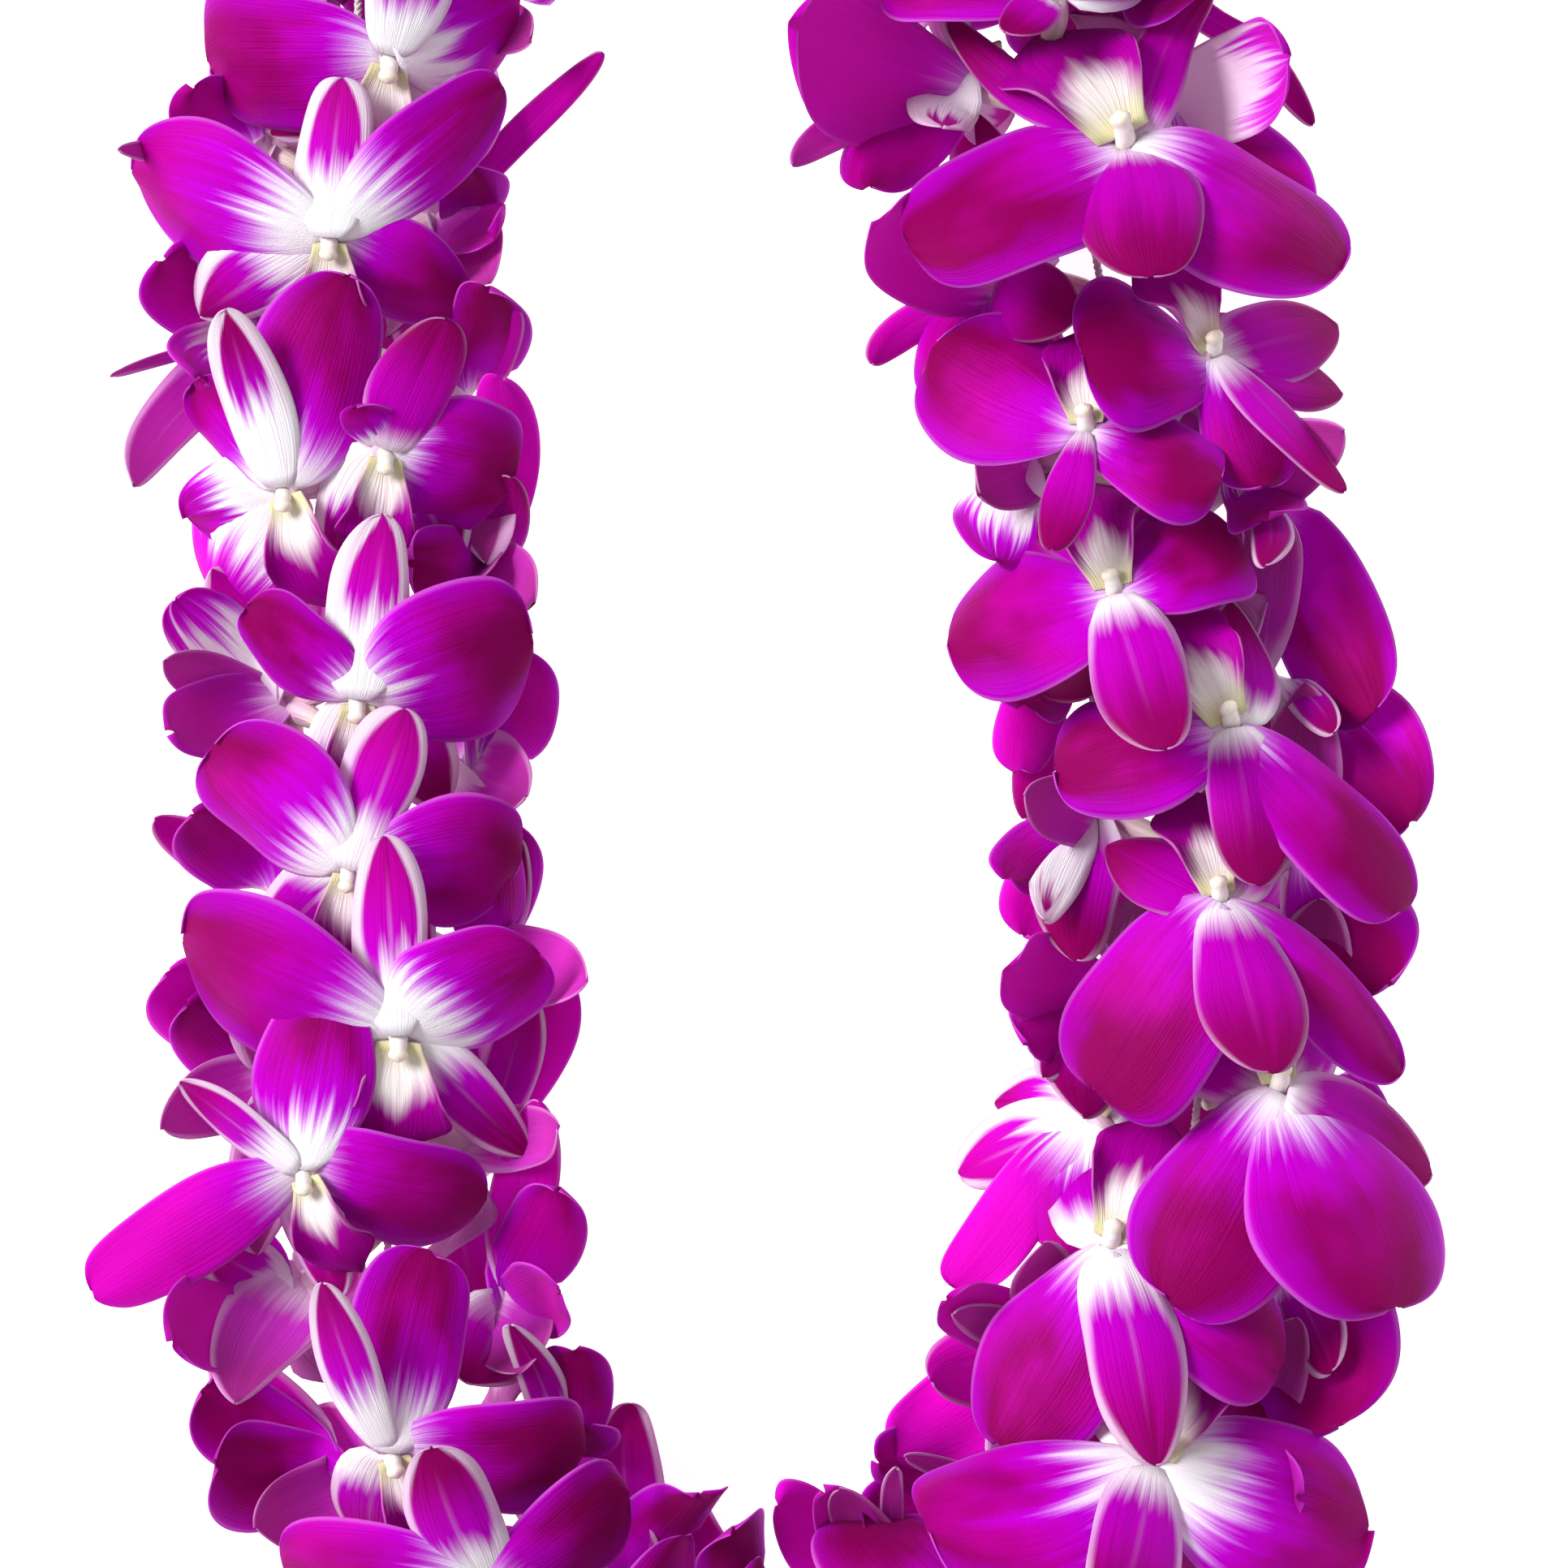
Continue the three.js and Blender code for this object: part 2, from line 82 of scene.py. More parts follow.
# What the photograph shows of a blade, by whorl and row: its tip's x and y and its width, in the photograph's
# pixels, how far white runs out over it, and how deep its colour is, from -1 for hot pink to 1 for dark. This
# is partly the blade's own tone, partly painted shade at the dark end and painted light shining through the
# blade at the hot pink end. Then come its lift, its curl per millimetre and its tip's height in millimetres,
# unless they are USUAL. The script works out the angle and the length that bring the tip there. LIPS gives
# some lips' breadth and length as shares of the regular ones.
PHOTO_SIZE = 1932
USUAL = (0, 0.01, None)
SEEN = {
    (9, 0): dict(petal_l=(258, 80, 205, 0.15, 0.6, 0.05, 0.014), petal_r=(640, 0, 190, 1, 0, 0.08, 0.012),
        dorsal=(520, -110, 95, 0.8, 0.5, -0.1, 0.006)),
    (9, 1): dict(dorsal=(655, 52, 70, 0, 1)),
    (9, 2): dict(petal_r=(238, 110, 95, 0.2, 0.2, -0.2, 0.02), dorsal=(145, 188, 30, 0.4, 0)),
    (8, 0): dict(dorsal=(424, 97, 92, 1, -0.2, -0.1, 0.004),
        petal_l=(166, 225, 190, 0.75, 0.1, 0.05, 0.012), petal_r=(618, 104, 118, 0.9, 0.3, 0, 0.014),
        sepal_l=(240, 380, 110, 1, 0, 0.02, 0.008), sepal_r=(570, 388, 136, 0.1, 0.6, 0.05)),
    (8, 1): dict(dorsal=(738, 68, 40, 0.1, -0.3, 0.12, -0.012, 30), sepal_l=(604, 350, 90, 0, 0.1, 0, 0),
        petal_l=(604, 300, 92, 0.1, -0.2), petal_r=(580, 200, 90, 0.1, 0.6)),
    (8, 2): dict(petal_r=(200, 320, 120, 0.1, 0.3), dorsal=(138, 466, 16, 0.3, 0.5, 0.2, 0),
        petal_l=(250, 470, 120, 1.4, 0), sepal_r=(156, 596, 84, 0.5, -0.3)),
    (7, 0): dict(petal_r=(628, 600, 195, 0.3, 0.6, 0.12, 0.016),
        dorsal=(548, 392, 92, 0, 0.5, -0.15, 0.004), petal_l=(440, 506, 62, 0.9, 0.1, -0.1),
        sepal_l=(404, 690, 110, 1.2, 0, 0.12, 0.005)),
    (7, 1): dict(dorsal=(628, 372, 62, 0.1, -0.6, 0, 0), petal_l=(602, 352, 105, 0.1, 0.9)),
    (7, 2): dict(petal_r=(428, 338, 160, 0.5, 0.6, 0, 0.02), petal_l=(240, 470, 96, 0.7, 0.2),
        dorsal=(282, 380, 86, 1.3, 0.3, 0, 0), sepal_l=(232, 640, 116, 1.6, 0),
        sepal_r=(262, 745, 150, 1.3, -0.4)),
    (6, 0): dict(dorsal=(460, 632, 98, 1.15, -0.3, -0.1, 0.004),
        petal_l=(300, 752, 118, 0.3, 0.8, 0, 0.02), petal_r=(656, 790, 222, 0.4, 0.6, 0, 0.016),
        sepal_l=(402, 1010, 90, 1, 0, 0, 0)),
    (6, 1): dict(petal_l=(616, 470, 100, 0.1, -0.8), dorsal=(628, 590, 66, 0.1, 0.2, 0, 0),
        petal_r=(500, 696, 112, 0.2, 0.6), sepal_r=(662, 740, 110, 0.1, 0.2),
        sepal_l=(586, 716, 100, 0.1, 0.6)),
    (6, 2): dict(petal_r=(216, 742, 95, 2, 0, 0, 0), dorsal=(202, 812, 66, 0.1, 0.6, 0, 0),
        sepal_r=(400, 680, 105, 1.4, -0.3), petal_l=(212, 905, 110, 0.3, 0.4),
        sepal_l=(262, 700, 120, 0.9, -0.4)),
    (5, 0): dict(dorsal=(488, 872, 92, 0.7, -0.2, 0.12, 0.004),
        petal_l=(258, 925, 190, 0.7, 0.5, -0.02, 0.014), petal_r=(640, 1062, 190, 0.4, 0.5, -0.05, 0.014)),
    (5, 1): dict(petal_l=(650, 806, 112, 0.3, 0), dorsal=(628, 740, 62, 0.3, 0, 0, 0),
        petal_r=(560, 800, 110, 0.3, 0.5), sepal_r=(652, 980, 110, 0.3, 0.1)),
    (5, 2): dict(dorsal=(190, 1008, 66, 0.2, -0.3, 0, 0), petal_r=(236, 1000, 95, 0.2, 0.2)),
    (4, 0): dict(dorsal=(470, 1030, 85, 0.9, -0.2, -0.1, 0.004),
        petal_l=(226, 1168, 222, 0.4, 0.6, 0.08, 0.018), petal_r=(668, 1178, 175, 0.9, 0.3, 0.1, 0.014),
        sepal_r=(640, 1430, 90, 0.6, 0.3, 0, 0)),
    (4, 1): dict(petal_l=(630, 1010, 88, 0.2, 0.3), dorsal=(640, 1030, 62, 0.3, 0.4, 0, 0),
        petal_r=(570, 1030, 110, 0.3, 0.5), sepal_l=(728, 1206, 110, 0.1, -0.5)),
    (4, 2): dict(petal_r=(206, 1195, 110, 0.2, -0.6), petal_l=(232, 1240, 110, 0.2, 0.3),
        sepal_l=(200, 1395, 90, 0.3, 0.2)),
    (3, 0): dict(petal_r=(402, 1222, 150, 0.7, 0.4, -0.05, 0.016),
        petal_l=(122, 1606, 112, 0.3, -0.6, 0.5, -0.008), dorsal=(222, 1332, 62, 0.7, 0, 0, 0),
        sepal_r=(598, 1484, 178, 0, 0.9, 0.15, 0.02), sepal_l=(410, 1600, 92, 0.6, 0.2, 0.2)),
    (3, 1): dict(petal_l=(700, 1200, 82, 0.1, -0.6), dorsal=(655, 1215, 70, 0.3, 0, 0, 0),
        sepal_l=(690, 1390, 100, 0.1, -0.3)),
    (3, 2): dict(petal_r=(226, 1500, 110, 0.2, 0.1), dorsal=(262, 1540, 76, 0.7, -0.2, 0, 0),
        petal_l=(214, 1660, 120, 0.1, 0), sepal_l=(290, 1730, 120, 0.3, 0.4),
        sepal_r=(444, 1544, 112, 0.6, 0.2)),
    (2, 0): dict(petal_l=(528, 1542, 160, 0.7, 0.5, -0.2), dorsal=(392, 1582, 62, 0.8, 0, -0.2, 0),
        petal_r=(716, 1800, 205, 0.1, 0.9, 0.15, 0.012), sepal_r=(630, 1925, 110, 0.7, 0.2, 0.12)),
    (2, 1): dict(petal_l=(688, 1465, 110, 0.1, 0.2), dorsal=(668, 1352, 88, 0.1, -0.7, 0, 0),
        petal_r=(690, 1590, 110, 0.1, 0.3), sepal_r=(572, 1704, 120, 0.3, 0.6),
        sepal_l=(640, 1690, 110, 0.1, 0.7)),
    (2, 2): dict(petal_r=(252, 1712, 115, 0.1, 0.6), dorsal=(262, 1668, 92, 0.3, -0.1, 0, 0),
        petal_l=(262, 1800, 130, 0.1, 0.8), sepal_l=(316, 1885, 100, 0.1, 0.6),
        sepal_r=(380, 1740, 110, 0.4, 0.3)),
    (1, 0): dict(petal_r=(775, 1845, 180, 0, 0.9, 0.05, 0.016)),
    (1, 1): dict(petal_l=(706, 1668, 110, 0.1, 0.7), dorsal=(628, 1632, 60, 0.9, 0, 0, 0),
        petal_r=(718, 1756, 100, 0.1, 1)),
    (0, 1): dict(petal_l=(862, 1842, 150, 0.1, 0.9)),
    (21, 0): dict(petal_r=(1090, -50, 130, 0, 0.9, 0.1), petal_l=(1440, -90, 120, 0.2, 0.8),
        dorsal=(1240, 40, 60, 0, 0.9, 0, 0.02)),
    (21, 1): dict(dorsal=(974, 206, 40, 0.1, -0.4, 0, 0.03, 32), petal_l=(974, 24, 148, 0, -0.5),
        petal_r=(1072, 226, 108, 0, 0.4), sepal_l=(1250, 140, 130, 1.8, 0, 0, 0),
        sepal_r=(1160, 160, 90, 1.6, 0)),
    (21, 2): dict(dorsal=(1622, 140, 46, 0.2, 0.2, 0, 0)),
    (22, 0): dict(petal_r=(1112, 288, 235, 0.1, 1, 0.08, 0.014),
        petal_l=(1650, 338, 215, 0.3, 0.9, 0.1, 0.016), dorsal=(1414, 342, 138, 0, 0.7, 0.6, 0.045),
        sepal_r=(1165, 25, 66, 0.1, 0.7, 0.1, 0), sepal_l=(1486, -20, 76, 0.1, 0.5, 0.15, 0)),
    (22, 1): dict(petal_l=(1165, 500, 110, 0.1, 0.2), dorsal=(1070, 450, 52, 0.1, -0.4, 0, 0.045, 22),
        petal_r=(1080, 268, 146, 0.1, -0.7), sepal_l=(1326, 396, 110, 0, 1, 0, 0.01, 26)),
    (22, 2): dict(petal_r=(1590, 70, 130, 2, -0.2), dorsal=(1560, 300, 60, 0.3, 0.5, 0, 0),
        petal_l=(1600, 290, 120, 0.2, 0.9)),
    (23, 0): dict(petal_r=(1150, 430, 190, 0, 0.7, 0.15, 0.008), petal_l=(1505, 590, 150, 0, 1, 0, 0.014),
        dorsal=(1294, 676, 52, 0, 0.7, -0.1, 0)),
    (23, 1): dict(petal_l=(1232, 690, 116, 1.7, 0), dorsal=(1316, 720, 60, 0.3, 0.5, 0, 0),
        sepal_l=(1205, 610, 90, 0.1, 0.3)),
    (23, 2): dict(dorsal=(1656, 606, 58, 0.1, 0.6, 0, 0), petal_l=(1560, 600, 120, 0.3, 0.5, -0.05),
        petal_r=(1330, 425, 200, 0, 0.9, 0.16, 0.012, 49), sepal_l=(1652, 480, 100, 0.1, 0.8),
        sepal_r=(1644, 396, 116, 0.1, 0.9)),
    (24, 0): dict(petal_r=(1168, 790, 212, 0, 0.5, 0.15, 0.012),
        petal_l=(1518, 655, 170, 0, 0.9, 0.15, 0.018), dorsal=(1446, 922, 104, 0.15, 0.7, -0.1, 0.004)),
    (24, 1): dict(dorsal=(1262, 1010, 60, 0, 0.3, 0, 0), petal_l=(1262, 870, 110, 0.1, 0.4),
        petal_r=(1256, 950, 84, 0.1, -0.3), sepal_l=(1346, 852, 100, 0, 1, 0, 0.01, 24)),
    (24, 2): dict(petal_r=(1692, 880, 142, 0.4, 0.8, 0.1), dorsal=(1560, 700, 60, 0.5, 0.6, 0, 0),
        petal_l=(1560, 640, 110, 0.6, 0.2), sepal_l=(1656, 530, 104, 0.1, 0.8)),
    (25, 0): dict(petal_r=(1300, 950, 185, 0.1, 0.9, 0.08, 0.016),
        petal_l=(1716, 1132, 138, 0.1, 0.9, 0, 0.012), dorsal=(1554, 1090, 104, 0.1, 0.8, 0.3, 0.006)),
    (25, 1): dict(petal_l=(1240, 1085, 105, 0.3, 0.2), dorsal=(1292, 1130, 66, 2, 0, 0, 0),
        petal_r=(1262, 1150, 110, 0.1, -0.2), sepal_l=(1330, 1180, 120, 0.2, 0.9),
        sepal_r=(1260, 985, 90, 0.1, 0.4)),
    (25, 2): dict(petal_r=(1738, 1010, 150, 0.8, 0.6), dorsal=(1640, 900, 50, 0.6, 0.5, 0, 0)),
    (26, 0): dict(petal_r=(1345, 1340, 215, 0, 0.7, -0.05, 0.012), petal_l=(1722, 1330, 105, 0.1, 0.6),
        dorsal=(1572, 1322, 115, 0.1, 0.6, 0.05, 0.004), sepal_r=(1366, 1040, 100, 0, 0.6, 0.1, 0)),
    (26, 1): dict(petal_l=(1262, 1290, 95, 0.3, -0.3), dorsal=(1284, 1330, 60, 0.7, 0, 0, 0),
        petal_r=(1240, 1190, 110, 0.2, -0.4), sepal_l=(1330, 1380, 120, 0.2, 0.8)),
    (26, 2): dict(petal_r=(1714, 1216, 140, 0.1, 0.9), dorsal=(1640, 1260, 70, 0.3, 0.8, 0, 0)),
    (27, 0): dict(petal_r=(1436, 1600, 205, 0.3, 0.9, -0.15, 0.012),
        petal_l=(1716, 1612, 228, 0.3, 0.7, 0.25, 0.012), dorsal=(1764, 1440, 110, 0.1, 0.8, -0.1, 0.004)),
    (27, 1): dict(petal_r=(1172, 1585, 92, 0.4, -0.8, 0.2, 0.01, 24),
        petal_l=(1300, 1540, 110, 0.9, -0.2, -0.1, 0, 26), dorsal=(1180, 1440, 90, 1, -0.4, 0, 0.02, 22),
        sepal_r=(1226, 1360, 110, 1, 0)),
    (27, 2): dict(petal_r=(1680, 1450, 130, 0.8, 0.4), dorsal=(1600, 1420, 80, 0.9, 0, 0, 0)),
    (28, 0): dict(petal_r=(1225, 1775, 160, 0.3, 0.7, 0.05, 0.012), petal_l=(1572, 1700, 160, 0.5, 0.4),
        dorsal=(1424, 1806, 118, 0.4, 0.2, 0.05, 0.004)),
    (28, 1): dict(petal_l=(1100, 1790, 130, 0.1, -0.9), dorsal=(1170, 1620, 60, 0.4, -0.3, 0, 0),
        petal_r=(1160, 1600, 110, 0.3, -0.4), sepal_l=(1150, 1700, 120, 0.1, -0.6),
        sepal_r=(1284, 1532, 110, 0.3, 0.1)),
    (28, 2): dict(petal_r=(1652, 1758, 196, 0.4, 0.8), dorsal=(1640, 1690, 70, 0.4, 0.4, 0, 0)),
    (29, 0): dict(petal_r=(1145, 1890, 215, 0.7, 0.3, 0, 0.014), petal_l=(1688, 1884, 215, 0.7, 0.5, 0.2),
        dorsal=(1370, 2010, 105, 0.3, 0.8, -0.1, 0.004)),
    (29, 1): dict(dorsal=(1118, 1795, 34, 0.4, -0.3, 0, 0), petal_l=(1070, 1880, 110, 0.3, 0.2),
        petal_r=(1080, 1800, 120, 0.2, 0.1)),
    (29, 2): dict(petal_r=(1600, 1840, 110, 0.1, 1)),
    (30, 1): dict(petal_l=(962, 1856, 130, 0.3, -0.5), dorsal=(1105, 1805, 34, 0.5, -0.2, 0, 0),
        petal_r=(1020, 1836, 110, 0.3, -0.3), sepal_l=(1040, 1832, 100, 0.2, -0.4)),
    (31, 1): dict(petal_l=(905, 1880, 140, 0.1, 0.9)),
}
LIPS = {
    (4, 0): (1.2, 1), (7, 2): (1.2, 1.1), (22, 0): (1.5, 1.1), (23, 0): (0.9, 0.8), (24, 0): (1.1, 1),
    (25, 0): (1.25, 1.1),
}

# The camera looks straight down on VIEW_CENTRE. It is VIEW_HEIGHT over VIEW_LEVEL, where its picture is
# VIEW_WIDTH wide.
VIEW_CENTRE = (2, -57.9)
VIEW_WIDTH = 232
VIEW_HEIGHT = 900
VIEW_LEVEL = 37

# An orchid within OPENED degrees of the top, whose blades the photograph shows, bends round the string on the
# wide circle FLAT_WRAP and swings its face up by FACING of its angle. One past SIDE degrees stands on the
# lei's side: the tips that the photograph shows are about SIDE_HEIGHT up, and its blades roll by up to
# MOST_ROLL degrees, to show broadest from above.
OPENED = 95
FLAT_WRAP = 60
FACING = 0.6
SIDE = 80
SIDE_HEIGHT = 24
MOST_ROLL = 120


# The string's route and the seats of the orchids on it.

def route_at(share):
    """The closed Catmull-Rom curve through ROUTE at a share, 0 to 1, of its points: each piece is the cubic
    whose slope at a point is half the step between the point's two neighbours."""
    count = len(ROUTE)
    place = np.mod(share, 1) * count
    start = np.floor(place).astype(int)
    t = (place - start)[..., None]
    before, here, there, after = (ROUTE[(start + k) % count] for k in (-1, 0, 1, 2))
    slope, next_slope = (there - before) / 2, (after - here) / 2
    return ((2 * t**3 - 3 * t**2 + 1) * here + (t**3 - 2 * t**2 + t) * slope
            + (3 * t**2 - 2 * t**3) * there + (t**3 - t**2) * next_slope)


def lengths_along(points):
    """The length from the first point to each of them: the running sum of the steps."""
    return np.concatenate([[0], np.cumsum(np.linalg.norm(np.diff(points, axis=0), axis=1))])


ROUTE_SHARES = np.linspace(0, 1, 100 * len(ROUTE) + 1)
ROUTE_LENGTHS = lengths_along(route_at(ROUTE_SHARES))
ROUTE_LENGTH = ROUTE_LENGTHS[-1]
PITCH = ROUTE_LENGTH / WHORLS


def route_point(station):
    """The route's points at these lengths along it, as (x, y)."""
    return route_at(np.interp(np.mod(station, ROUTE_LENGTH), ROUTE_LENGTHS, ROUTE_SHARES))


def route_right(station):
    """The direction to the right of travel: the tangent over 8 mm of route, turned a quarter clockwise."""
    reach = 4
    tangent = route_point(np.add(station, reach)) - route_point(np.subtract(station, reach))
    tangent /= np.linalg.norm(tangent, axis=-1, keepdims=True)
    return np.stack([tangent[..., 1], -tangent[..., 0]], axis=-1)


def route_turn(station):
    """How fast the route turns to the right, per millimetre: its two directions' cross product over 24 mm."""
    reach = 12
    (ax, ay), (bx, by) = route_right(station - reach), route_right(station + reach)
    return -(ax * by - ay * bx) / (2 * reach)


def draw(orchid, use):
    """A repeatable draw from -1 to 1 for one orchid and one use: the fraction of a large sine."""
    wave = math.sin(orchid * 12.9898 + use * 78.233) * 43758.5453
    return 2 * (wave - math.floor(wave)) - 1


def whorl_place(whorl):
    """A whorl's regular place along the route: a pitch after the one before it."""
    return (whorl + FIRST_WHORL) * PITCH


def seat_under(throat, place):
    """The station and the angle that bring a throat over its (x, y), as in the solids: the nearest station
    within a pitch of the regular place, and the angle whose sine is the throat's way to the right over its
    radius."""
    stations = place + np.arange(-PITCH, PITCH, 0.1)
    station = stations[np.linalg.norm(route_point(stations) - throat, axis=1).argmin()]
    aside = (throat - route_point(station)) @ route_right(station)
    return station, math.asin(np.clip(aside / THROAT_RADIUS, -1, 1))


def orchid_seat(index):
    """Where an orchid sits, as in the solids: by the rule, with draws of up to 1.5 mm along the string, 8
    degrees round it and 7 degrees of turn, or by its own line of LEANING. On a bend's inner side it takes
    more of the route, by stretch: the route's spacing at 1.25 of the throat's way in, to the power -0.7. Its
    face bends round the string on the circle wrap and swings up by facing."""
    whorl, row = divmod(index, 3)
    place = whorl_place(whorl) + (0, 1 / 3, -1 / 3)[row] * PITCH
    if (whorl, row) in LEANING:
        x, y, turn, size, spread = LEANING[whorl, row]
        station, angle = seat_under(np.array([x, y]), place)
    else:
        station = place + 1.5 * draw(index, 1)
        angle = math.radians((0, ROW_ANGLE, -ROW_ANGLE)[row] + 8 * draw(index, 2))
        turn, size, spread = 7 * draw(index, 3), 0.97 + 0.05 * draw(index, 4), 1 + 0.05 * draw(index, 5)
    inward = THROAT_RADIUS * 1.25 * math.sin(angle)
    stretch = max(0.3, 1 - route_turn(station) * inward) ** -0.7
    opened = (whorl, row) in SEEN and abs(angle) < math.radians(OPENED)
    return dict(index=index, station=station, root=place + ROOT_LEAD, angle=angle,
                turn=math.radians(turn), size=size, spread=spread, stretch=stretch,
                wrap=FLAT_WRAP if opened else WRAP_RADIUS,
                facing=FACING * angle if opened else 0)


def pressed(points):
    """The points pressed towards the table: a depth d below FREE_HEIGHT becomes d - PRESS d^2, and nothing is
    under LOWEST."""
    below = np.maximum(FREE_HEIGHT - points[..., 2], 0)
    points[..., 2] = np.maximum(points[..., 2] + PRESS * below**2, LOWEST)
    return points


def at_string(station, angle, height, across):
    """Points height out from the string's middle at an angle round it, 0 up and positive to the right of
    travel, and across from there."""
    middle, right = route_point(station), route_right(station)
    sideways = height * math.sin(angle) + across * math.cos(angle)
    upwards = height * math.cos(angle) - across * math.sin(angle)
    height_up = STRING_HEIGHT + upwards[..., None]
    return np.concatenate([middle + right * sideways[..., None], height_up], axis=-1)


def placed(seat, a, b, c):
    """An orchid's own points (a right, b to the dorsal sepal, c out of the face) in the lei: swung up by its
    facing angle, turned in the face, rolled, tilted from the string, and bent back round it on its circle."""
    a, b, c = np.broadcast_arrays(a, b, c)
    swing, rise = math.cos(seat["facing"]), math.sin(seat["facing"])
    a, c = a * swing - c * rise, c * swing + a * rise
    cos, sin = math.cos(seat["turn"]), math.sin(seat["turn"])
    across = seat["size"] * (a * cos + b * sin)
    ahead = seat["size"] * (b * cos - a * sin)
    front = seat["size"] * c + ROLL * across
    along = ahead * math.cos(TILT) - front * math.sin(TILT)
    reach = seat["wrap"] + ahead * math.sin(TILT) + front * math.cos(TILT)
    bend = across / seat["wrap"]
    height = THROAT_RADIUS - seat["wrap"] + reach * np.cos(bend)
    station = seat["station"] + seat["stretch"] * along
    return pressed(at_string(station, seat["angle"], height, reach * np.sin(bend)))


# Surfaces as arrays of points. Each is (points, quads, other faces, uv) and closed, with its faces outwards,
# and nothing of it is under TABLE_GAP.

TABLE_GAP = 0.02


def sheet_grid(rows, columns, end):
    """A sheet's u from foot to tip, in steps that are closer towards the tip, as the sine of even steps up to
    end of a quarter turn, its v from -1 to 1 across, and both as its uv."""
    u = np.sin(np.linspace(0.0, 0.5 * math.pi * end, rows + 1))[:, None]
    v = np.linspace(-1, 1, columns + 1)[None, :]
    return u, v, np.stack(np.broadcast_arrays(u, 0.5 + 0.5 * v), axis=-1)


def grid_quads(rows, columns):
    """The quads of a grid of rows by columns points. They face the columns' step cross the rows' step."""
    corner = np.arange(rows - 1)[:, None] * columns + np.arange(columns - 1)
    return np.stack([corner, corner + 1, corner + columns + 1, corner + columns], axis=-1).reshape(-1, 4)


def ring_quads(count, sides, closed=False):
    """The quads from each ring of a tube to the next, and from the last to the first if it is closed."""
    ring, side = np.arange(count if closed else count - 1)[:, None], np.arange(sides)
    next_ring, next_side = (ring + 1) % count * sides, (side + 1) % sides
    here, there = ring * sides + side, ring * sides + next_side
    return np.stack([here, there, next_ring + next_side, next_ring + side], axis=-1).reshape(-1, 4)


def shell(middle, thickness, uv):
    """A closed sheet: the middle surface pushed half its thickness each way along its normals, and the two
    faces joined round the rim. The other faces are its back's and its rim's."""
    rows, columns = middle.shape[:2]
    normal = np.cross(np.gradient(middle, axis=1), np.gradient(middle, axis=0))
    normal /= np.maximum(np.linalg.norm(normal, axis=-1, keepdims=True), 1e-9)
    offset = normal * thickness[..., None] / 2
    points = np.concatenate([(middle + offset).reshape(-1, 3), (middle - offset).reshape(-1, 3)])
    points[:, 2] = np.maximum(points[:, 2], TABLE_GAP)
    count = rows * columns
    front = grid_quads(rows, columns)
    back = front[:, ::-1] + count
    index = np.arange(count).reshape(rows, columns)
    loop = np.concatenate([index[0, :-1], index[:-1, -1], index[-1, :0:-1], index[:0:-1, 0]])
    after = np.roll(loop, -1)
    rim = np.stack([loop, loop + count, after + count, after], axis=-1)
    return points, front, np.concatenate([back, rim]), np.concatenate([uv.reshape(-1, 2)] * 2)


def tube(path, radii, sides, flat=1.0):
    """A tube through the path's points: a ring at each, of its radius across and flat times that the other
    way, and a point at each end. Across is square to a slanting line, which no path here runs along."""
    slanting = np.array([0.31, 0.17, 0.93])
    ahead = np.gradient(path, axis=0)
    ahead /= np.linalg.norm(ahead, axis=1, keepdims=True)
    side = np.cross(ahead, slanting)
    side /= np.linalg.norm(side, axis=1, keepdims=True)
    other = np.cross(ahead, side)
    turn = np.arange(sides) * 2 * math.pi / sides
    ring = side[:, None] * np.cos(turn)[:, None] + flat * other[:, None] * np.sin(turn)[:, None]
    rings = path[:, None] + ring * np.asarray(radii)[:, None, None]
    points = np.concatenate([rings.reshape(-1, 3), path[[0, -1]]])
    points[:, 2] = np.maximum(points[:, 2], TABLE_GAP)
    count = len(path)
    first, last = count * sides, count * sides + 1
    one, two = np.arange(sides), (np.arange(sides) + 1) % sides
    end = (count - 1) * sides
    triangles = np.concatenate([
        np.stack([np.full(sides, first), two, one], axis=-1),
        np.stack([np.full(sides, last), one + end, two + end], axis=-1),
    ])
    u = np.repeat(np.linspace(0, 1, count), sides)
    v = np.tile(np.arange(sides) / sides, count)
    uv = np.concatenate([np.stack([u, v], axis=-1), [[0, 0.5], [1, 0.5]]])
    return points, ring_quads(count, sides), triangles, uv


